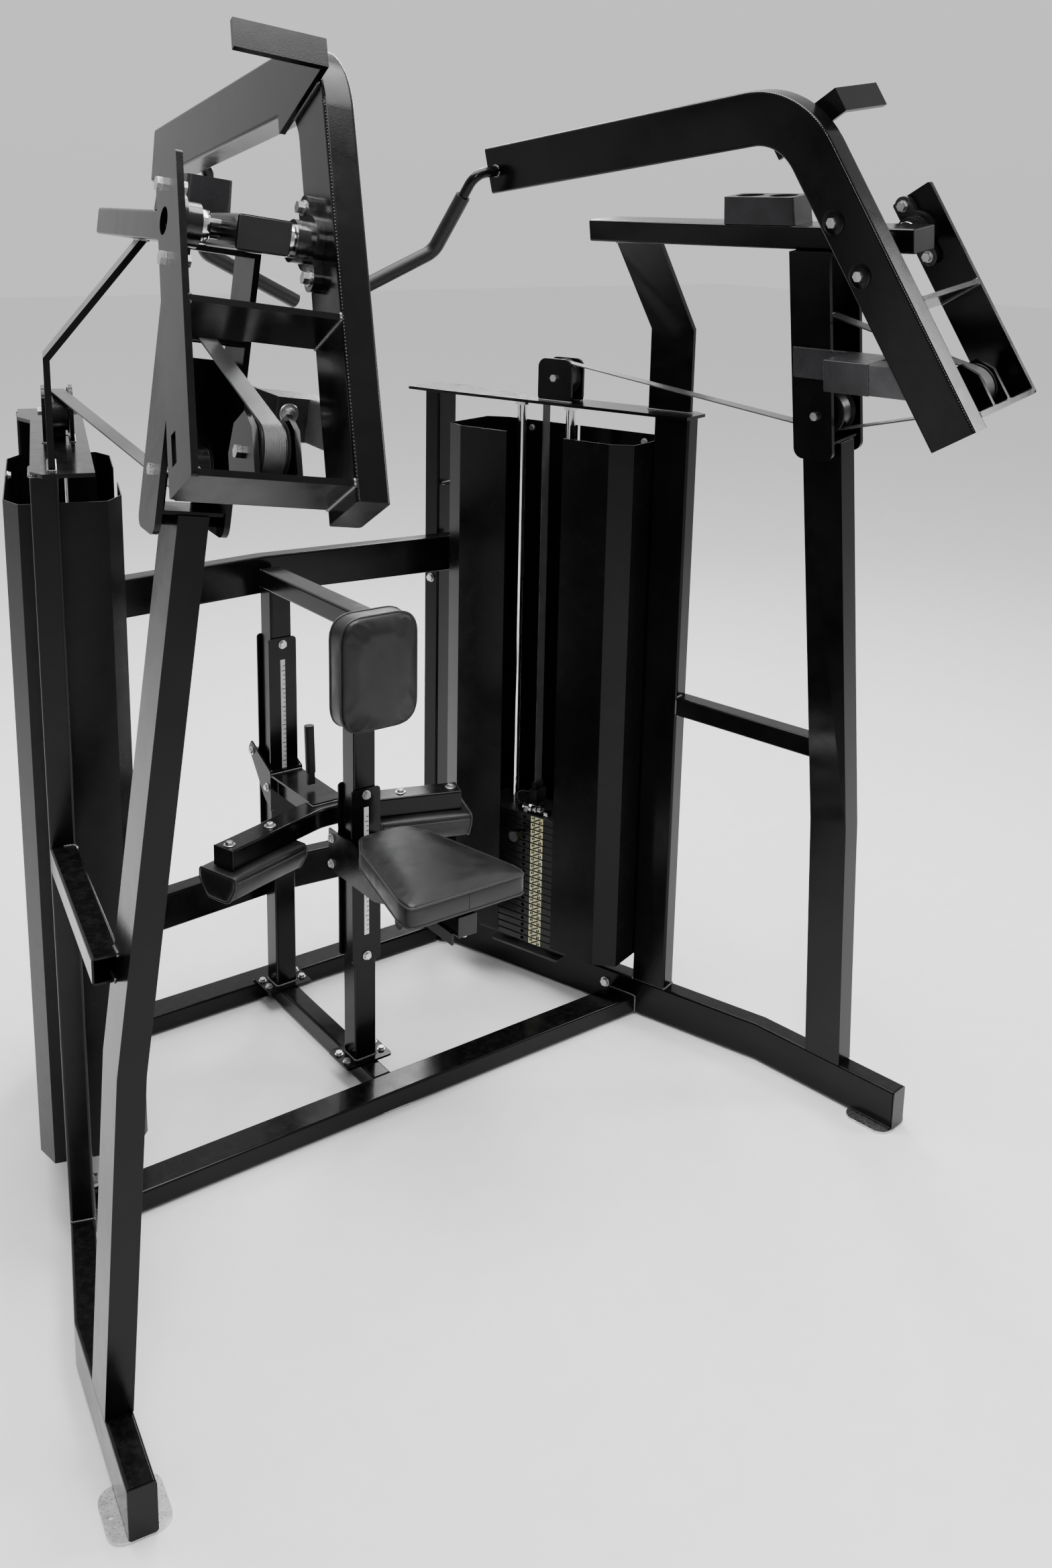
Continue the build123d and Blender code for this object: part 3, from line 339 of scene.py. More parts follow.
def dress_nodes():
    """Give every CAD node its finish and a small rounded edge that catches the light."""
    slots = {s["node"]: s["material_slot"] for s in frame["record"]["subparts"]}
    for name, obj in frame["nodes"].items():
        mat = BY_NODE.get(name, BY_SLOT[slots[name]])
        obj.data.materials.clear()
        obj.data.materials.append(mat)
        smooth(obj.data, 15 if "shroud" in name else 35)
        if "arm_bearings" in name:
            obj.data.materials.append(ZINC)
            for index in small_parts(obj.data, 0.09):
                obj.data.polygons[index].material_index = 1
        width = EDGE.get(name, USUAL_EDGE)
        if width:
            weld = obj.modifiers.new("join", "WELD")
            weld.merge_threshold = 0.00002
            bevel = obj.modifiers.new("edge", "BEVEL")
            bevel.width, bevel.segments = width, 2
            bevel.limit_method, bevel.angle_limit = "ANGLE", radians(40)
            bevel.use_clamp_overlap = True
            obj.modifiers.new("normals", "WEIGHTED_NORMAL").keep_sharp = True


# ---------------------------------------------------------------- mesh helpers
END_TAPER = 0.6                                           # how far a bead or cord narrows at its ends


def tube_mesh(points, radius, sides=10, closed=False, ripple=0.0, step=0.004):
    """Vertices and faces of a round bead or cord along points; ripple swells it at every step."""
    line = [Vector(p) for p in points]
    if ripple:
        fine = []
        for a, b in zip(line, line[1:] + line[:1] if closed else line[1:]):
            count = max(2, int((b - a).length / (step / 4)))
            fine += [a.lerp(b, i / count) for i in range(count)]
        line = fine + ([] if closed else [line[-1]])
    verts, faces, run = [], [], 0.0
    side = None
    total = len(line)
    for i, p in enumerate(line):
        before = line[i - 1] if i or closed else p
        after = line[(i + 1) % total] if i < total - 1 or closed else p
        d = (after - before).normalized()
        if side is None:
            side = d.orthogonal().normalized()
        side = (side - d * side.dot(d)).normalized()
        up = d.cross(side)
        run += (p - before).length if i else 0
        r = radius * (1 + ripple * sin(2 * pi * run / step)) if ripple else radius
        if not closed and i in (0, total - 1):
            r *= END_TAPER
        angles = [2 * pi * k / sides for k in range(sides)]
        verts += [p + (side * cos(a) + up * sin(a)) * r for a in angles]
    for i in range(total if closed else total - 1):
        j = (i + 1) % total
        faces += [(i * sides + k, i * sides + (k + 1) % sides, j * sides + (k + 1) % sides, j * sides + k)
                  for k in range(sides)]
    if not closed:
        faces += [tuple(reversed(range(sides))), tuple((total - 1) * sides + k for k in range(sides))]
    return verts, faces


def lathe_mesh(place, direction, profile, sides=32):
    """A turned piece from (radius, height) steps, closed on its axis; six sides give a hexagon."""
    d = Vector(direction).normalized()
    x = d.orthogonal().normalized()
    y = d.cross(x)
    verts = [place + d * h + (x * cos(2 * pi * k / sides) + y * sin(2 * pi * k / sides)) * r
             for r, h in profile for k in range(sides)]
    faces = []
    for i in range(len(profile) - 1):
        here, above = i * sides, (i + 1) * sides
        faces += [(here + k, here + (k + 1) % sides, above + (k + 1) % sides, above + k)
                  for k in range(sides)]
    last = (len(profile) - 1) * sides
    faces += [tuple(reversed(range(sides))), tuple(last + k for k in range(sides))]
    return verts, faces


def bolt_mesh(place, direction, size=0.010, washer=1.25):
    """A washer with a rolled edge under a chamfered, slightly domed hexagon head."""
    d = Vector(direction).normalized()
    w = size * washer
    ring = lathe_mesh(place, d, [(w * 0.9, 0), (w, 0.0005), (w, 0.0014), (w * 0.94, 0.002)])
    top = place + d * 0.002
    head = lathe_mesh(top, d, [(size, 0), (size, size * 0.5), (size * 0.86, size * 0.66)], 6)
    crown = [(size * 0.72, 0), (size * 0.6, size * 0.06), (size * 0.2, size * 0.09)]
    dome = lathe_mesh(top + d * size * 0.64, d, crown, 20)
    return merge([ring, head, dome])


def slab_mesh(centre, x, y, z):
    """A box from its middle and three half-edges."""
    verts = [centre + x * i + y * j + z * k for i in (-1, 1) for j in (-1, 1) for k in (-1, 1)]
    faces = [(0, 1, 3, 2), (4, 6, 7, 5), (0, 4, 5, 1), (2, 3, 7, 6), (0, 2, 6, 4), (1, 5, 7, 3)]
    return verts, faces


def merge(meshes):
    verts, faces = [], []
    for v, f in meshes:
        base = len(verts)
        verts += v
        faces += [tuple(i + base for i in face) for face in f]
    return verts, faces


def mirrored(mesh):
    verts, faces = mesh
    return [Vector((-v.x, v.y, v.z)) for v in verts], [tuple(reversed(f)) for f in faces]


def on_side(mesh, k):
    return mesh if k > 0 else mirrored(mesh)


def piece(name, mesh, mat, body, angle=35, edge=0.0):
    """A finished object from vertices and faces, riding on a body."""
    verts, faces = mesh
    data = bpy.data.meshes.new(name)
    data.from_pydata([tuple(v) for v in verts], [], faces)
    bm = bmesh.new()
    bm.from_mesh(data)
    bmesh.ops.recalc_face_normals(bm, faces=bm.faces)
    bm.to_mesh(data)
    bm.free()
    data.materials.append(mat)
    smooth(data, angle)
    obj = bpy.data.objects.new(name, data)
    bpy.context.scene.collection.objects.link(obj)
    if edge:
        bevel = obj.modifiers.new("edge", "BEVEL")
        bevel.width, bevel.segments, bevel.limit_method = edge, 2, "ANGLE"
    if body:
        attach(obj, body)
    return obj


def ribbon(name, path, body=None):
    """A flat belt along path, a list of (point, outward normal, width direction)."""
    verts, faces = [], []
    for p, out, wide in path:
        w, t = wide.normalized() * BELT_W / 2, out.normalized() * BELT_T / 2
        verts += [p - w - t, p + w - t, p + w + t, p - w + t]
    for i in range(len(path) - 1):
        here, above = 4 * i, 4 * i + 4
        faces += [(here + k, here + (k + 1) % 4, above + (k + 1) % 4, above + k) for k in range(4)]
    last = 4 * (len(path) - 1)
    faces += [(0, 3, 2, 1), (last, last + 1, last + 2, last + 3)]
    runs = [0.0]
    for (a, *_), (b, *_) in zip(path, path[1:]):
        runs.append(runs[-1] + (b - a).length)
    obj = piece(name, (verts, faces), BELT, body, angle=30)
    uv = obj.data.uv_layers.new(name="belt")
    for poly in obj.data.polygons:
        for loop in poly.loop_indices:
            index = obj.data.loops[loop].vertex_index
            uv.data[loop].uv = (runs[index // 4] * 10, (index % 4 in (1, 2)) * 1.0)
    return obj


def arc(centre, x, y, start, end, radius, wide, steps=24):
    """Belt path round a pulley from angle start to end in the plane of x and y."""
    out = []
    for i in range(steps + 1):
        a = start + (end - start) * i / steps
        normal = x * cos(a) + y * sin(a)
        out.append((centre + normal * radius, normal, wide))
    return out


def straight(a, b, out_a, out_b, wide_a, wide_b, steps=14):
    return [(a.lerp(b, t), out_a.lerp(out_b, t), wide_a.lerp(wide_b, t))
            for t in (i / steps for i in range(1, steps))]


def flip(path, k):
    if k > 0:
        return path
    m = Vector((-1, 1, 1))
    return [(p * m, o * m, w * m) for p, o, w in path]


# ---------------------------------------------------------------- belts
def belts():
    """Three lengths of belt on each side, following the pulleys from the lever to the stack."""
    stack, post, arm = PULLEYS["stack"], PULLEYS["post"], PULLEYS["arm"]
    # The transfer belt crosses from the top of the stack pulley to the underside of the post pulley.
    line = (post - stack)
    c = line.normalized()
    above = (UP - c * c.z).normalized()
    lean = 2 * BELT_R / line.length
    normal = c * lean + above * (1 - lean ** 2) ** 0.5
    leaves = atan2(normal.z, normal.dot(FRONT))
    enters = atan2((-normal).dot(RISE), (-normal).dot(FORWARD))
    # The lever belt runs under both pulleys of the lever frame and back up to its anchor.
    post_at, arm_at = flat(post), flat(arm)
    d = (arm_at - post_at).normalized()
    low = atan2(-d.x, d.y)
    anchor = Vector((post_at.x + BELT_ANCHOR.x, post_at.y + BELT_ANCHOR.y))
    back = anchor - arm_at
    top = atan2(back.y, back.x) - acos(BELT_R / back.length)
    n = Vector((cos(low), sin(low)))
    p1, q1 = post_at + n * BELT_R, arm_at + n * BELT_R
    q2 = arm_at + Vector((cos(top), sin(top))) * BELT_R
    lower_out = FORWARD * n.x + RISE * n.y
    up_out = FORWARD * cos(top) + RISE * sin(top)
    # The lift belt hangs from the stack pulley to the clevis on the stack's stem.
    head = stack - FRONT * BELT_R
    foot = head.copy()
    foot.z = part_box("lifted_stack_right")[1][2] - CLEVIS_DROP
    for name, k in SIDES.items():
        path = arc(stack, FRONT, UP, pi, leaves, BELT_R, OUT)
        a, b = stack + normal * BELT_R, post - normal * BELT_R
        path += straight(a, b, normal, normal, OUT, AXIS)
        path += [(p, -o, w) for p, o, w in arc(post, FORWARD, RISE, enters, low, BELT_R, AXIS)]
        transfer = ribbon(f"transfer_strap_{name}", flip(path, k), "frame")
        path = [(foot.lerp(head, i / 24), -FRONT, OUT) for i in range(25)]
        lift = ribbon(f"lift_strap_{name}", flip(path, k), "frame")
        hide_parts(f"lift_belt_{name}")
        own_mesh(lift)
        path = [(lever(*p1), lower_out, AXIS)]
        path += straight(lever(*p1), lever(*q1), lower_out, lower_out, AXIS, AXIS, 24)
        path += arc(arm, FORWARD, RISE, low, top, BELT_R, AXIS, 36)
        path += straight(lever(*q2), lever(*anchor), up_out, up_out, AXIS, AXIS, 24)
        path.append((lever(*anchor), up_out, AXIS))
        run = ribbon(f"lever_strap_{name}", flip(path, k))
        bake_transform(run)
        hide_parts(f"arm_belt_{name}")
    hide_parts("transfer_belts")


# ---------------------------------------------------------------- pads
MOST_CUT = 0.4                                            # part of an edge that one rounded corner takes
VOXEL, CLOTH_FRAMES = 0.005, 20


def rounded(points, radius, steps=8):
    """A closed outline with every corner rounded off by a curve of about the given radius."""
    out = []
    count = len(points)
    for i, p in enumerate(points):
        p = Vector(p)
        before, after = Vector(points[i - 1]) - p, Vector(points[(i + 1) % count]) - p
        a, b = before.normalized(), after.normalized()
        angle = a.angle(b)
        spread = max(1e-6, abs(sin(angle / 2) / cos(angle / 2)))
        cut = min(radius / spread, MOST_CUT * before.length, MOST_CUT * after.length)
        start, end = p + a * cut, p + b * cut
        for k in range(steps + 1):
            t = k / steps
            out.append(start * (1 - t) ** 2 + p * 2 * t * (1 - t) + end * t ** 2)
    return out


def prism(outline, place, inset, levels):
    """Closed mesh of an outline carried through (level, inset) steps and set in position by place."""
    centre = sum(outline, Vector((0, 0))) / len(outline)
    count = len(outline)
    verts = []
    for level, shrink in levels:
        for p in outline:
            d = (p - centre)
            verts.append(place(centre + d * (1 - (inset + shrink) / max(d.length, 1e-6)), level))
    faces = []
    for i in range(len(levels) - 1):
        here, above = i * count, (i + 1) * count
        faces += [(here + k, here + (k + 1) % count, above + (k + 1) % count, above + k)
                  for k in range(count)]
    last = (len(levels) - 1) * count
    faces += [tuple(reversed(range(count))), tuple(last + k for k in range(count))]
    return verts, faces


def inflate(obj, cap, is_held):
    """Voxel remesh, swell as cloth under pressure, cap the travel, apply, and subdivide once."""
    bpy.context.view_layer.objects.active = obj
    remesh = obj.modifiers.new("remesh", "REMESH")
    remesh.mode, remesh.voxel_size = "VOXEL", VOXEL
    bpy.ops.object.select_all(action="DESELECT")
    obj.select_set(True)
    bpy.ops.object.modifier_apply(modifier=remesh.name)
    mesh = obj.data
    rest = [v.co.copy() for v in mesh.vertices]
    held = obj.vertex_groups.new(name="held")
    held.add([i for i, c in enumerate(rest) if is_held(c)], 1.0, "REPLACE")
    cloth = obj.modifiers.new("cloth", "CLOTH")
    settings = cloth.settings
    settings.quality = 4
    settings.mass = 0.35
    settings.tension_stiffness = settings.compression_stiffness = 12
    settings.bending_stiffness = 0.6
    settings.use_pressure = True
    settings.uniform_pressure_force = 4.0
    settings.vertex_group_mass = "held"
    settings.effector_weights.gravity = 0
    cloth.point_cache.frame_start, cloth.point_cache.frame_end = 1, CLOTH_FRAMES
    scene = bpy.context.scene
    for step in range(1, CLOTH_FRAMES + 1):
        scene.frame_set(step)
    shaped = obj.evaluated_get(bpy.context.evaluated_depsgraph_get()).data
    moved = [v.co.copy() for v in shaped.vertices]
    scene.frame_set(1)
    obj.modifiers.remove(cloth)
    for v, a, b in zip(mesh.vertices, rest, moved):
        swell = b - a
        v.co = a + swell * min(1.0, cap / max(swell.length, 1e-9))
    bm = bmesh.new()
    bm.from_mesh(mesh)
    for _ in range(3):
        bmesh.ops.smooth_vert(bm, verts=bm.verts, factor=0.5,
                              use_axis_x=True, use_axis_y=True, use_axis_z=True)
    bm.to_mesh(mesh)
    bm.free()
    subdivide = obj.modifiers.new("subdivide", "SUBSURF")
    subdivide.levels = subdivide.render_levels = 1
    bpy.ops.object.modifier_apply(modifier=subdivide.name)
    mesh.shade_smooth()


def piping(name, obj, lines, body, radius=0.0026):
    """Welt cord half sunk into a pad's surface along each line of points."""
    meshes = [tube_mesh(nearest(obj, line, radius * 0.35), radius, 8, closed=True) for line in lines]
    return piece(name, merge(meshes), PIPING_PAINTED_HIGHLIGHT, body, 60)


def pad(name, node, body, outline, place, depth, cap, seams):
    """One upholstered pad: a cover held at its back and along its seams, and the lines of its welt."""
    levels = [(0.003, 0.006), (0.010, 0.0), (depth - 0.014, 0.0), (depth - 0.006, 0.003),
              (depth - 0.002, 0.012)]
    mesh = prism(outline, place, 0.004, levels)
    obj = piece(name, mesh, VINYL, None)
    back = place(Vector((0, 0)), 0.012)
    away = (place(Vector((0, 0)), 1.0) - place(Vector((0, 0)), 0.0)).normalized()
    seam_levels = [away.dot(place(Vector((0, 0)), s)) for s in seams]

    def is_held(c):
        return away.dot(c - back) < 0 or any(abs(away.dot(c) - s) < 0.003 for s in seam_levels)

    inflate(obj, cap, is_held)
    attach(obj, body)
    if node:
        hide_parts(node)
    lines = [[place(p, s) for p in outline] for s in seams]
    return obj, lines


def seat():
    """Wide at the front, narrow where it meets the post, with one upright seam in front."""
    low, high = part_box("seat_pad")
    half = [(0.158, low[1]), (0.158, low[1] + 0.05), (0.098, low[1] + 0.32), (0.062, high[1])]
    outline = rounded(half + [(-x, y) for x, y in reversed(half)], 0.040)
    depth = high[2] - low[2]
    cover, lines = pad("seat_cushion", "seat_pad", "seat", outline,
                       lambda p, h: Vector((p.x, p.y, low[2] + h)), depth, 0.007, (0.008, depth - 0.009))
    piping("seat_welt", cover, lines, "seat")
    front = [Vector((0, low[1] - 0.004, low[2] + 0.010 + i * (depth - 0.022) / 12)) for i in range(13)]
    seam = tube_mesh(nearest(cover, front, 0.0002), 0.0012, 6)
    piece("seat_front_seam", seam, PIPING_PAINTED_HIGHLIGHT, "seat")


def chest():
    """Upright, its cushion facing the user."""
    low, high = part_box("chest_pad")
    w, h = high[0], (high[2] - low[2]) / 2
    mid = (high[2] + low[2]) / 2
    outline = rounded([(-w, -h), (w, -h), (w, h), (-w, h)], 0.062, 12)
    depth = high[1] - low[1]
    face = high[1]
    cover, lines = pad("chest_cushion", "chest_pad", "frame", outline,
                       lambda p, t: Vector((p.x, face - t, mid + p.y)), depth, 0.008,
                       (0.010, depth - 0.016))
    piping("chest_welt", cover, lines, "frame")


def knees():
    """Two D-shaped rolls under the arms of the hold-down."""
    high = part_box("knee_pads")[1]
    half = [(0.066, 0.0), (0.066, -0.030), (0.040, -0.078)]
    profile = rounded([(-0.066, 0.0)] + half + [(-0.040, -0.078), (-0.066, -0.030)], 0.022, 5)
    start = knee_tube(0.118, high[2])
    for name, k in SIDES.items():
        m = Vector((k, 1, 1))

        def place(p, t):
            return (start + KNEE_ALONG * t + KNEE_ACROSS * p.x + UP * p.y) * m

        obj, lines = pad(f"knee_cushion_{name}", None, "knee_hold_down", profile, place, 0.256, 0.006,
                         (0.007, 0.249))
        piping(f"knee_welt_{name}", obj, lines, "knee_hold_down")
        edge = [place(Vector((-0.068, -0.016)), 0.012 + i * 0.232 / 16) for i in range(17)]
        seam = tube_mesh(nearest(obj, edge, 0.0006), 0.0020, 8)
        piece(f"knee_seam_{name}", seam, PIPING_PAINTED_HIGHLIGHT, "knee_hold_down")
        if k > 0:
            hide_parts("knee_pads")


def nearest(obj, points, lift):
    tree = BVHTree.FromObject(obj, bpy.context.evaluated_depsgraph_get())
    out = []
    for p in points:
        place, normal, *_ = tree.find_nearest(p)
        out.append(place + normal * lift)
    return out


# ---------------------------------------------------------------- welds
def node_tree(name):
    mesh = frame["nodes"][name].data
    return BVHTree.FromPolygons([v.co for v in mesh.vertices], [p.vertices for p in mesh.polygons])


SHARP, INSIDE = 0.5, -0.9                                 # angles between faces, an inside corner negative


def seam_runs(name, other=None, reach=0.0016):
    """Sharp edges of one node that lie on another, or its own inside corners, joined into runs."""
    bm = bmesh.new()
    bm.from_mesh(frame["nodes"][name].data)
    bmesh.ops.remove_doubles(bm, verts=bm.verts, dist=JOIN)
    tree = node_tree(other) if other else None
    links = {}
    for edge in bm.edges:
        if len(edge.link_faces) != 2:
            continue
        angle = edge.calc_face_angle_signed(0)
        if other:
            wanted = abs(angle) > SHARP and all(tree.find_nearest(v.co, reach)[0] for v in edge.verts)
        else:
            wanted = angle < INSIDE
        if wanted:
            a, b = (v.index for v in edge.verts)
            links.setdefault(a, set()).add(b)
            links.setdefault(b, set()).add(a)
    places = [v.co.copy() for v in bm.verts]
    bm.free()
    runs = []
    for start in sorted(links, key=lambda i: (len(links[i]) != 1, i)):
        while links[start]:
            run, here = [start], start
            while links[here]:
                after = min(links[here])
                links[here].discard(after)
                links[after].discard(here)
                run.append(after)
                here = after
            runs.append([places[i] for i in run])
    return runs


def beads(runs, radius=0.0032, shortest=0.012):
    """A rippled bead along every run that is long enough to need one."""
    out = []
    for run in runs:
        length = sum((b - a).length for a, b in zip(run, run[1:]))
        if length < shortest:
            continue
        closed = (run[0] - run[-1]).length < 1e-6
        out.append(tube_mesh(run[:-1] if closed else run, radius, 6, closed, ripple=0.15, step=0.0056))
    return out


def welds():
    """Beads wherever tubes and plates meet, found from the touching edges of the frame's own pieces."""
    meets = [("crossbars", "base"), ("stack_posts", "base"), ("stack_posts", "stack_top_plates"),
             ("side_braces", "stack_posts"), ("side_braces", "front_upright"),
             ("side_braces", "stack_top_plates"), ("side_braces", "top_beam"),
             ("front_upright", "base"), ("front_upright", "top_beam"),
             ("rear_beams", "stack_posts"), ("rear_post", "crossbars"), ("seat_post", "crossbars"),
             ("chest_pad_arm", "rear_post"), ("chest_pad_arm", "seat_post"), ("arm_stops", "front_upright")]
    nodes = frame["nodes"]
    runs = []
    for a, b in meets:
        for side in SIDES:
            one, other = (n if n in nodes else f"{n}_{side}" for n in (a, b))
            if side == "left" and one == a and other == b:
                continue
            runs += seam_runs(one, other)
    for name in ("stack_top_plates", "chest_pad_arm", "rear_post", "seat_post"):
        runs += seam_runs(name)
    piece("weld_beads_frame", merge(beads(runs)), WELD_BEAD_PAINTED_HIGHLIGHT, "frame", 60)
    for name in ("knee_carriage", "seat_carriage"):
        body = {"knee_carriage": "knee_hold_down", "seat_carriage": "seat"}[name]
        piece(f"weld_beads_{name}", merge(beads(seam_runs(name), 0.0028)), WELD_BEAD_PAINTED_HIGHLIGHT, body, 60)
    for side in SIDES:
        runs = seam_runs(f"arm_yoke_{side}", f"arm_tube_{side}") + seam_runs(f"arm_yoke_{side}")
        runs += seam_runs(f"handle_bar_{side}", f"arm_tube_{side}") + seam_runs(f"arm_tube_{side}")
        piece(f"weld_beads_arm_{side}", merge(beads(runs)), WELD_BEAD_PAINTED_HIGHLIGHT, f"arm_{side}", 60)


# ---------------------------------------------------------------- fasteners, labels and caps
def fasteners():
    """Bolts on top of the knee tube, through both carriages' cheeks, and under the seat."""
    cheek = 0.0475
    bolts = []
    for x in (0.186, 0.313):
        for k in (-1, 1):
            bolts.append(bolt_mesh(knee_tube(x, 0.686) * Vector((k, 1, 1)), UP, 0.0095, 1.5))
    for k in (-1, 1):
        for y, z in ((0.760, 0.727), (0.672, 0.652)):
            bolts.append(bolt_mesh(Vector((k * cheek, y + DEPTH, z)), (k, 0, 0), 0.009, 1.3))
    piece("knee_bolts", merge(bolts), ZINC, "knee_hold_down", 30)
    bolts = []
    for k in (-1, 1):
        for z in (0.640, 0.572):
            bolts.append(bolt_mesh(Vector((k * cheek, 0.322 + DEPTH, z)), (k, 0, 0), 0.009, 1.3))
    bolts.append(bolt_mesh(Vector((0, -0.192 + DEPTH, 0.597)), (0, 0, -1), 0.007, 1.3))
    piece("seat_bolts", merge(bolts), ZINC, "seat", 30)


def plate_labels():
    """A weight label with neutral marks on the inner edge of every plate."""
    dashes = ((-0.0140, 0.0030), (-0.0085, 0.0042), (0.0085, -0.0042), (0.0140, -0.0030))
    up = (FRONT * 0.0120 + UP * 0.0062)
    side = up.cross(OUT).normalized() * 0.0020
    skin = OUT * 0.0003
    for name, k in SIDES.items():
        for tag, body, rows in (("resting", "frame", range(LIFTED_FROM)),
                                ("lifted", f"lifted_stack_{name}", range(LIFTED_FROM, PLATES))):
            cards, marks = [], []
            for i in rows:
                c = tower(-0.137, -0.0604, STACK_LOW + PITCH * (i + 0.49))
                cards.append(slab_mesh(c, FRONT * 0.0200, UP * 0.0079, OUT * 0.0004))
                marks.append(slab_mesh(c - OUT * 0.0006, up, side, skin))
                marks += [slab_mesh(c - OUT * 0.0006 + FRONT * dx + UP * dz,
                                    FRONT * 0.0021, UP * 0.0033, skin) for dx, dz in dashes]
            piece(f"plate_labels_{tag}_{name}", on_side(merge(cards), k), LABEL, body)
            piece(f"plate_marks_{tag}_{name}", on_side(merge(marks), k), INK, body)


def scales():
    """Graduated strips without figures, on the seat post and on the rear post."""
    strips, ticks = [], []
    seat_face, rear_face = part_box("scale_plates")[0][1], 0.665 + DEPTH
    x, y, gap = Vector((1, 0, 0)), Vector((0, 1, 0)), 0.0125
    for face, bottom, top in ((seat_face, 0.405, 0.742), (rear_face, 0.620, 1.000)):
        c = Vector((0, face - 0.0003, (bottom + top) / 2))
        strips.append(slab_mesh(c, x * 0.0065, y * 0.0003, UP * (top - bottom) / 2))
        for i in range(1, int((top - bottom) / gap)):
            wide = 0.0048 if i % 4 == 0 else 0.0028
            ticks.append(slab_mesh(Vector((0.0058 - wide, face - 0.0007, bottom + i * gap)),
                                   x * wide, y * 0.0002, UP * 0.0011))
    piece("scale_strips", merge(strips), STRIP, "frame")
    piece("scale_ticks", merge(ticks), INK, "frame")


def plugs():
    """Plain plastic plugs in the open ends of the knee tube, the seat's tube and the top beams."""
    plug = slab_mesh(knee_tube(0.330, 0.660) + KNEE_ALONG * 0.0015,
                     KNEE_ALONG * 0.0017, KNEE_ACROSS * 0.0325, UP * 0.0255)
    piece("knee_tube_plugs", merge([plug, mirrored(plug)]), CAP, "knee_hold_down",
          30, 0.0012)
    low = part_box("seat_carriage")[0]
    plug = slab_mesh(Vector((0, low[1] - 0.0012, 0.622)),
                     Vector((0.0247, 0, 0)), Vector((0, 0.0014, 0)), UP * 0.0247)
    piece("seat_tube_plug", plug, CAP, "seat", 30, 0.0012)
    caps = [slab_mesh(lever(f, 0), FORWARD * 0.0012, AXIS * 0.0385, RISE * 0.0235)
            for f in (BEAM_REAR, BEAM_FRONT)]
    piece("beam_plugs", merge(caps + [mirrored(c) for c in caps]), CAP, "frame", 30, 0.0010)


def stops():
    """Two round plugs in the face of each stop block, and the bolt beside them."""
    face = 0.0452
    profile = [(0.0105, 0), (0.0105, 0.0012), (0.0085, 0.0014), (0.0080, 0.0006)]
    for name, k in SIDES.items():
        discs = [lathe_mesh(lever(face, -0.259, a), FORWARD, profile, 28) for a in (0.112, 0.140)]
        piece(f"stop_plugs_{name}", on_side(merge(discs), k), CAP, "frame", 30)
        bolt = bolt_mesh(lever(face, -0.250, 0.079), FORWARD, 0.0100, 1.5)
        piece(f"stop_bolt_{name}", on_side(bolt, k), ZINC, "frame", 30)


def plunger_mesh(c):
    """The spring plunger lying along the top plate, its cradle, and the nut beside it."""
    steps = [(0.006, 0.0), (0.0095, 0.002), (0.0095, 0.012), (0.0075, 0.014), (0.0075, 0.030),
             (0.0125, 0.032), (0.0125, 0.034), (0.0115, 0.036), (0.0125, 0.038), (0.0115, 0.040),
             (0.0125, 0.042), (0.0125, 0.058), (0.0090, 0.060), (0.0090, 0.070), (0.0050, 0.074)]
    plunger = lathe_mesh(c, FRONT, steps, 28)
    cradle = slab_mesh(c + FRONT * 0.022 - UP * 0.0065, FRONT * 0.006, OUT * 0.010, UP * 0.0065)
    nut = lathe_mesh(tower(-0.118, -0.036, STACK_TOP), UP, [(0.013, 0), (0.013, 0.010), (0.0115, 0.012)], 6)
    return merge([plunger, cradle, nut])


def coil_mesh(start, middle, end, turns=13, steps=220):
    """A coiled lanyard round a bowed line, narrowing to the line at both ends."""
    lift = FRONT.lerp(UP, 0.5).normalized()
    coil = []
    for i in range(steps + 1):
        t = i / steps
        on_line = start * (1 - t) ** 2 + middle * 2 * t * (1 - t) + end * t ** 2
        turn = 2 * pi * turns * t
        swell = 0.0048 * min(1, 12 * t, 12 * (1 - t))
        coil.append(on_line + (OUT * cos(turn) + lift * sin(turn)) * swell)
    return tube_mesh(coil, 0.0012, 6)


def collars_mesh():
    """Bright collars beside both shaft bearings, each with two set screws."""
    profile = [(0.0205, 0), (0.0247, 0), (0.0250, 0.001), (0.0250, 0.012), (0.0242, 0.0135),
               (0.0205, 0.0135)]
    rings = []
    for inboard, toward in ((0.0675, -1), (-0.0745, 1)):
        rings.append(lathe_mesh(lever(0, 0, inboard), -AXIS * toward, profile, 40))
        for turn in (0.6, 2.7):
            side = FORWARD * cos(turn) + RISE * sin(turn)
            screw = lever(0, 0, inboard) - AXIS * toward * 0.0065 + side * 0.0245
            rings.append(lathe_mesh(screw, side, [(0.0032, 0), (0.0032, 0.0014), (0.0026, 0.0020)], 14))
    return merge(rings)


def bosses_mesh():
    """Round seats under the two bolts on the lever's inner face."""
    profile = [(0.0245, 0), (0.0245, 0.0022), (0.0232, 0.0030), (0.0125, 0.0030)]
    return merge([lathe_mesh(lever(*leg(along, 0), ARM_IN + ARM_HALF), -AXIS, profile, 40)
                  for along in (-0.059, 0.059)])


def stack_and_lever_trim():
    """What rides on the lifted stacks and on the levers besides the CAD pieces."""
    level = STACK_TOP + 0.0135
    lanyard = coil_mesh(tower(-0.206, -0.044, level), tower(-0.236, -0.050, STACK_TOP + 0.060),
                        tower(-0.192, -0.020, STACK_TOP + 0.046))
    for name, k in SIDES.items():
        stack, arm = f"lifted_stack_{name}", f"arm_{name}"
        plunger = plunger_mesh(tower(-0.204, -0.044, level))
        piece(f"stack_plunger_{name}", on_side(plunger, k), CHROME, stack)
        piece(f"pin_tether_{name}", on_side(lanyard, k), CAP, stack, 60)
        piece(f"bearing_collars_{name}", on_side(collars_mesh(), k), CHROME, arm)
        piece(f"bolt_bosses_{name}", on_side(bosses_mesh(), k), PAINT, arm)


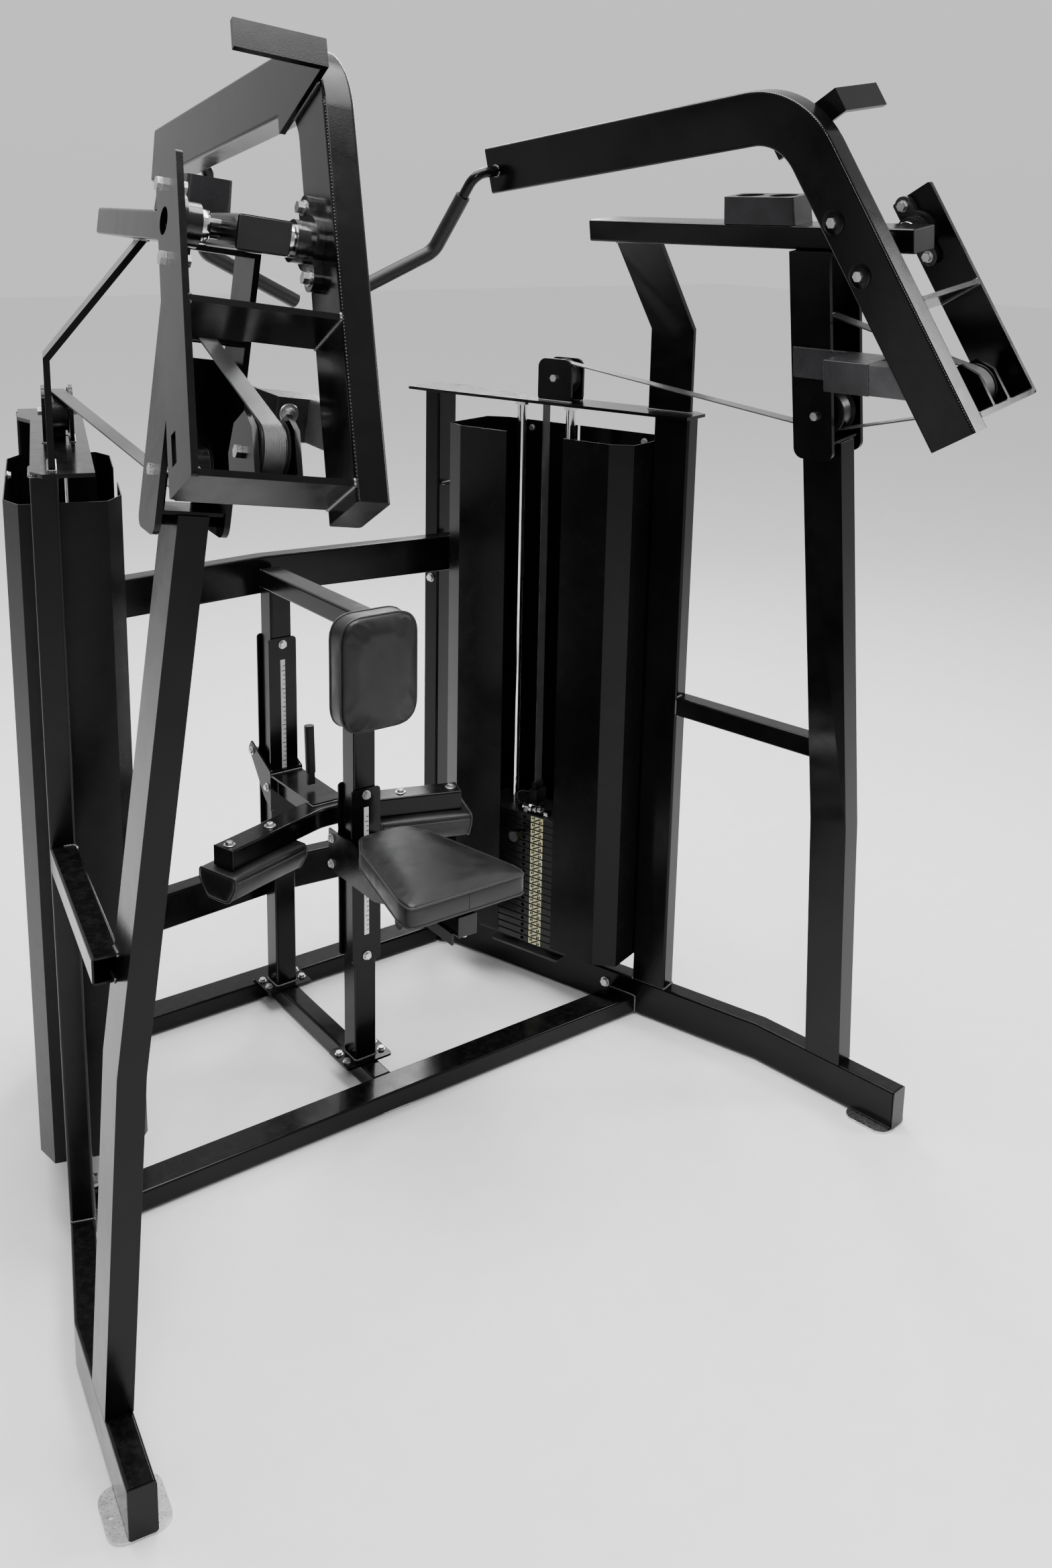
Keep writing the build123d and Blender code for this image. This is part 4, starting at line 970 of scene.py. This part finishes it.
# ---------------------------------------------------------------- light, floor, camera
def sky():
    """A white room: brighter overhead, dimmer on the side that the camera looks from."""
    world = bpy.data.worlds.new("studio")
    world.use_nodes = True
    tree = world.node_tree
    back = tree.nodes["Background"]
    back.inputs["Strength"].default_value = 1.0
    height = tree.nodes.new("ShaderNodeSeparateXYZ")
    direction = tree.nodes.new("ShaderNodeTexCoord").outputs["Generated"]
    tree.links.new(direction, height.inputs[0])
    toward = tree.nodes.new("ShaderNodeVectorMath")
    toward.operation = "DOT_PRODUCT"
    toward.inputs[1].default_value = (0.6, 0.8, 0.0)
    tree.links.new(direction, toward.inputs[0])
    dim = tree.nodes.new("ShaderNodeMapRange")
    for socket, value in zip(dim.inputs[1:5], (-0.7, 0.3, 0.38, 1.0)):
        socket.default_value = value
    tree.links.new(toward.outputs["Value"], dim.inputs[0])
    scaled = tree.nodes.new("ShaderNodeVectorMath")
    scaled.operation = "SCALE"
    tree.links.new(dim.outputs[0], scaled.inputs["Scale"])
    ramp = tree.nodes.new("ShaderNodeValToRGB")
    ramp.color_ramp.elements[0].color = (0.80, 0.80, 0.81, 1)
    ramp.color_ramp.elements[1].color = (1.1, 1.1, 1.1, 1)
    ramp.color_ramp.elements[1].position = 0.9
    tree.links.new(height.outputs["Z"], ramp.inputs["Fac"])
    tree.links.new(ramp.outputs["Color"], scaled.inputs[0])
    tree.links.new(scaled.outputs["Vector"], back.inputs["Color"])
    bpy.context.scene.world = world


def studio():
    """A pale floor, the sky, three small softboxes and a large one overhead."""
    floor_mesh = slab_mesh(Vector((0, 0, -0.01)), Vector((30, 0, 0)), Vector((0, 30, 0)), UP * 0.01)
    floor = piece("floor", floor_mesh, FLOOR, None)
    sky()
    target = Vector((0, 0, 1.1))
    for place, size, power in (((-2.6, -3.8, 4.6), 0.9, 95), ((3.8, -2.4, 3.6), 0.8, 80),
                               ((0.0, 0.3, 5.8), 3.4, 620), ((2.6, 3.6, 3.4), 1.0, 90)):
        data = bpy.data.lights.new("softbox", "AREA")
        data.shape, data.size, data.size_y, data.energy = "RECTANGLE", size, size * 1.6, power
        lamp = bpy.data.objects.new("softbox", data)
        lamp.location = place
        lamp.rotation_euler = (target - Vector(place)).to_track_quat("-Z", "Y").to_euler()
        bpy.context.scene.collection.objects.link(lamp)


def camera():
    """The view from off the machine's left front corner, looking slightly down, with the lens shifted."""
    data = bpy.data.cameras.new("camera")
    data.sensor_fit, data.sensor_height, data.sensor_width = "VERTICAL", 36, 36
    data.lens, data.shift_y = 33.0, -0.165
    view = bpy.data.objects.new("camera", data)
    forward = Vector((0.5842, 0.7824, -0.2156)).normalized()
    right = Vector((0.8038, -0.5946, 0.0203))
    right = (right - forward * right.dot(forward)).normalized()
    up = right.cross(forward)
    view.matrix_world = Matrix.Translation((-1.650, -2.599 + DEPTH, 2.170)) @ Matrix(
        (right, up, -forward)).transposed().to_4x4()
    bpy.context.scene.collection.objects.link(view)
    bpy.context.scene.camera = view


dress_nodes()
belts()
seat()
chest()
knees()
welds()
fasteners()
plate_labels()
scales()
plugs()
stops()
stack_and_lever_trim()
studio()
camera()
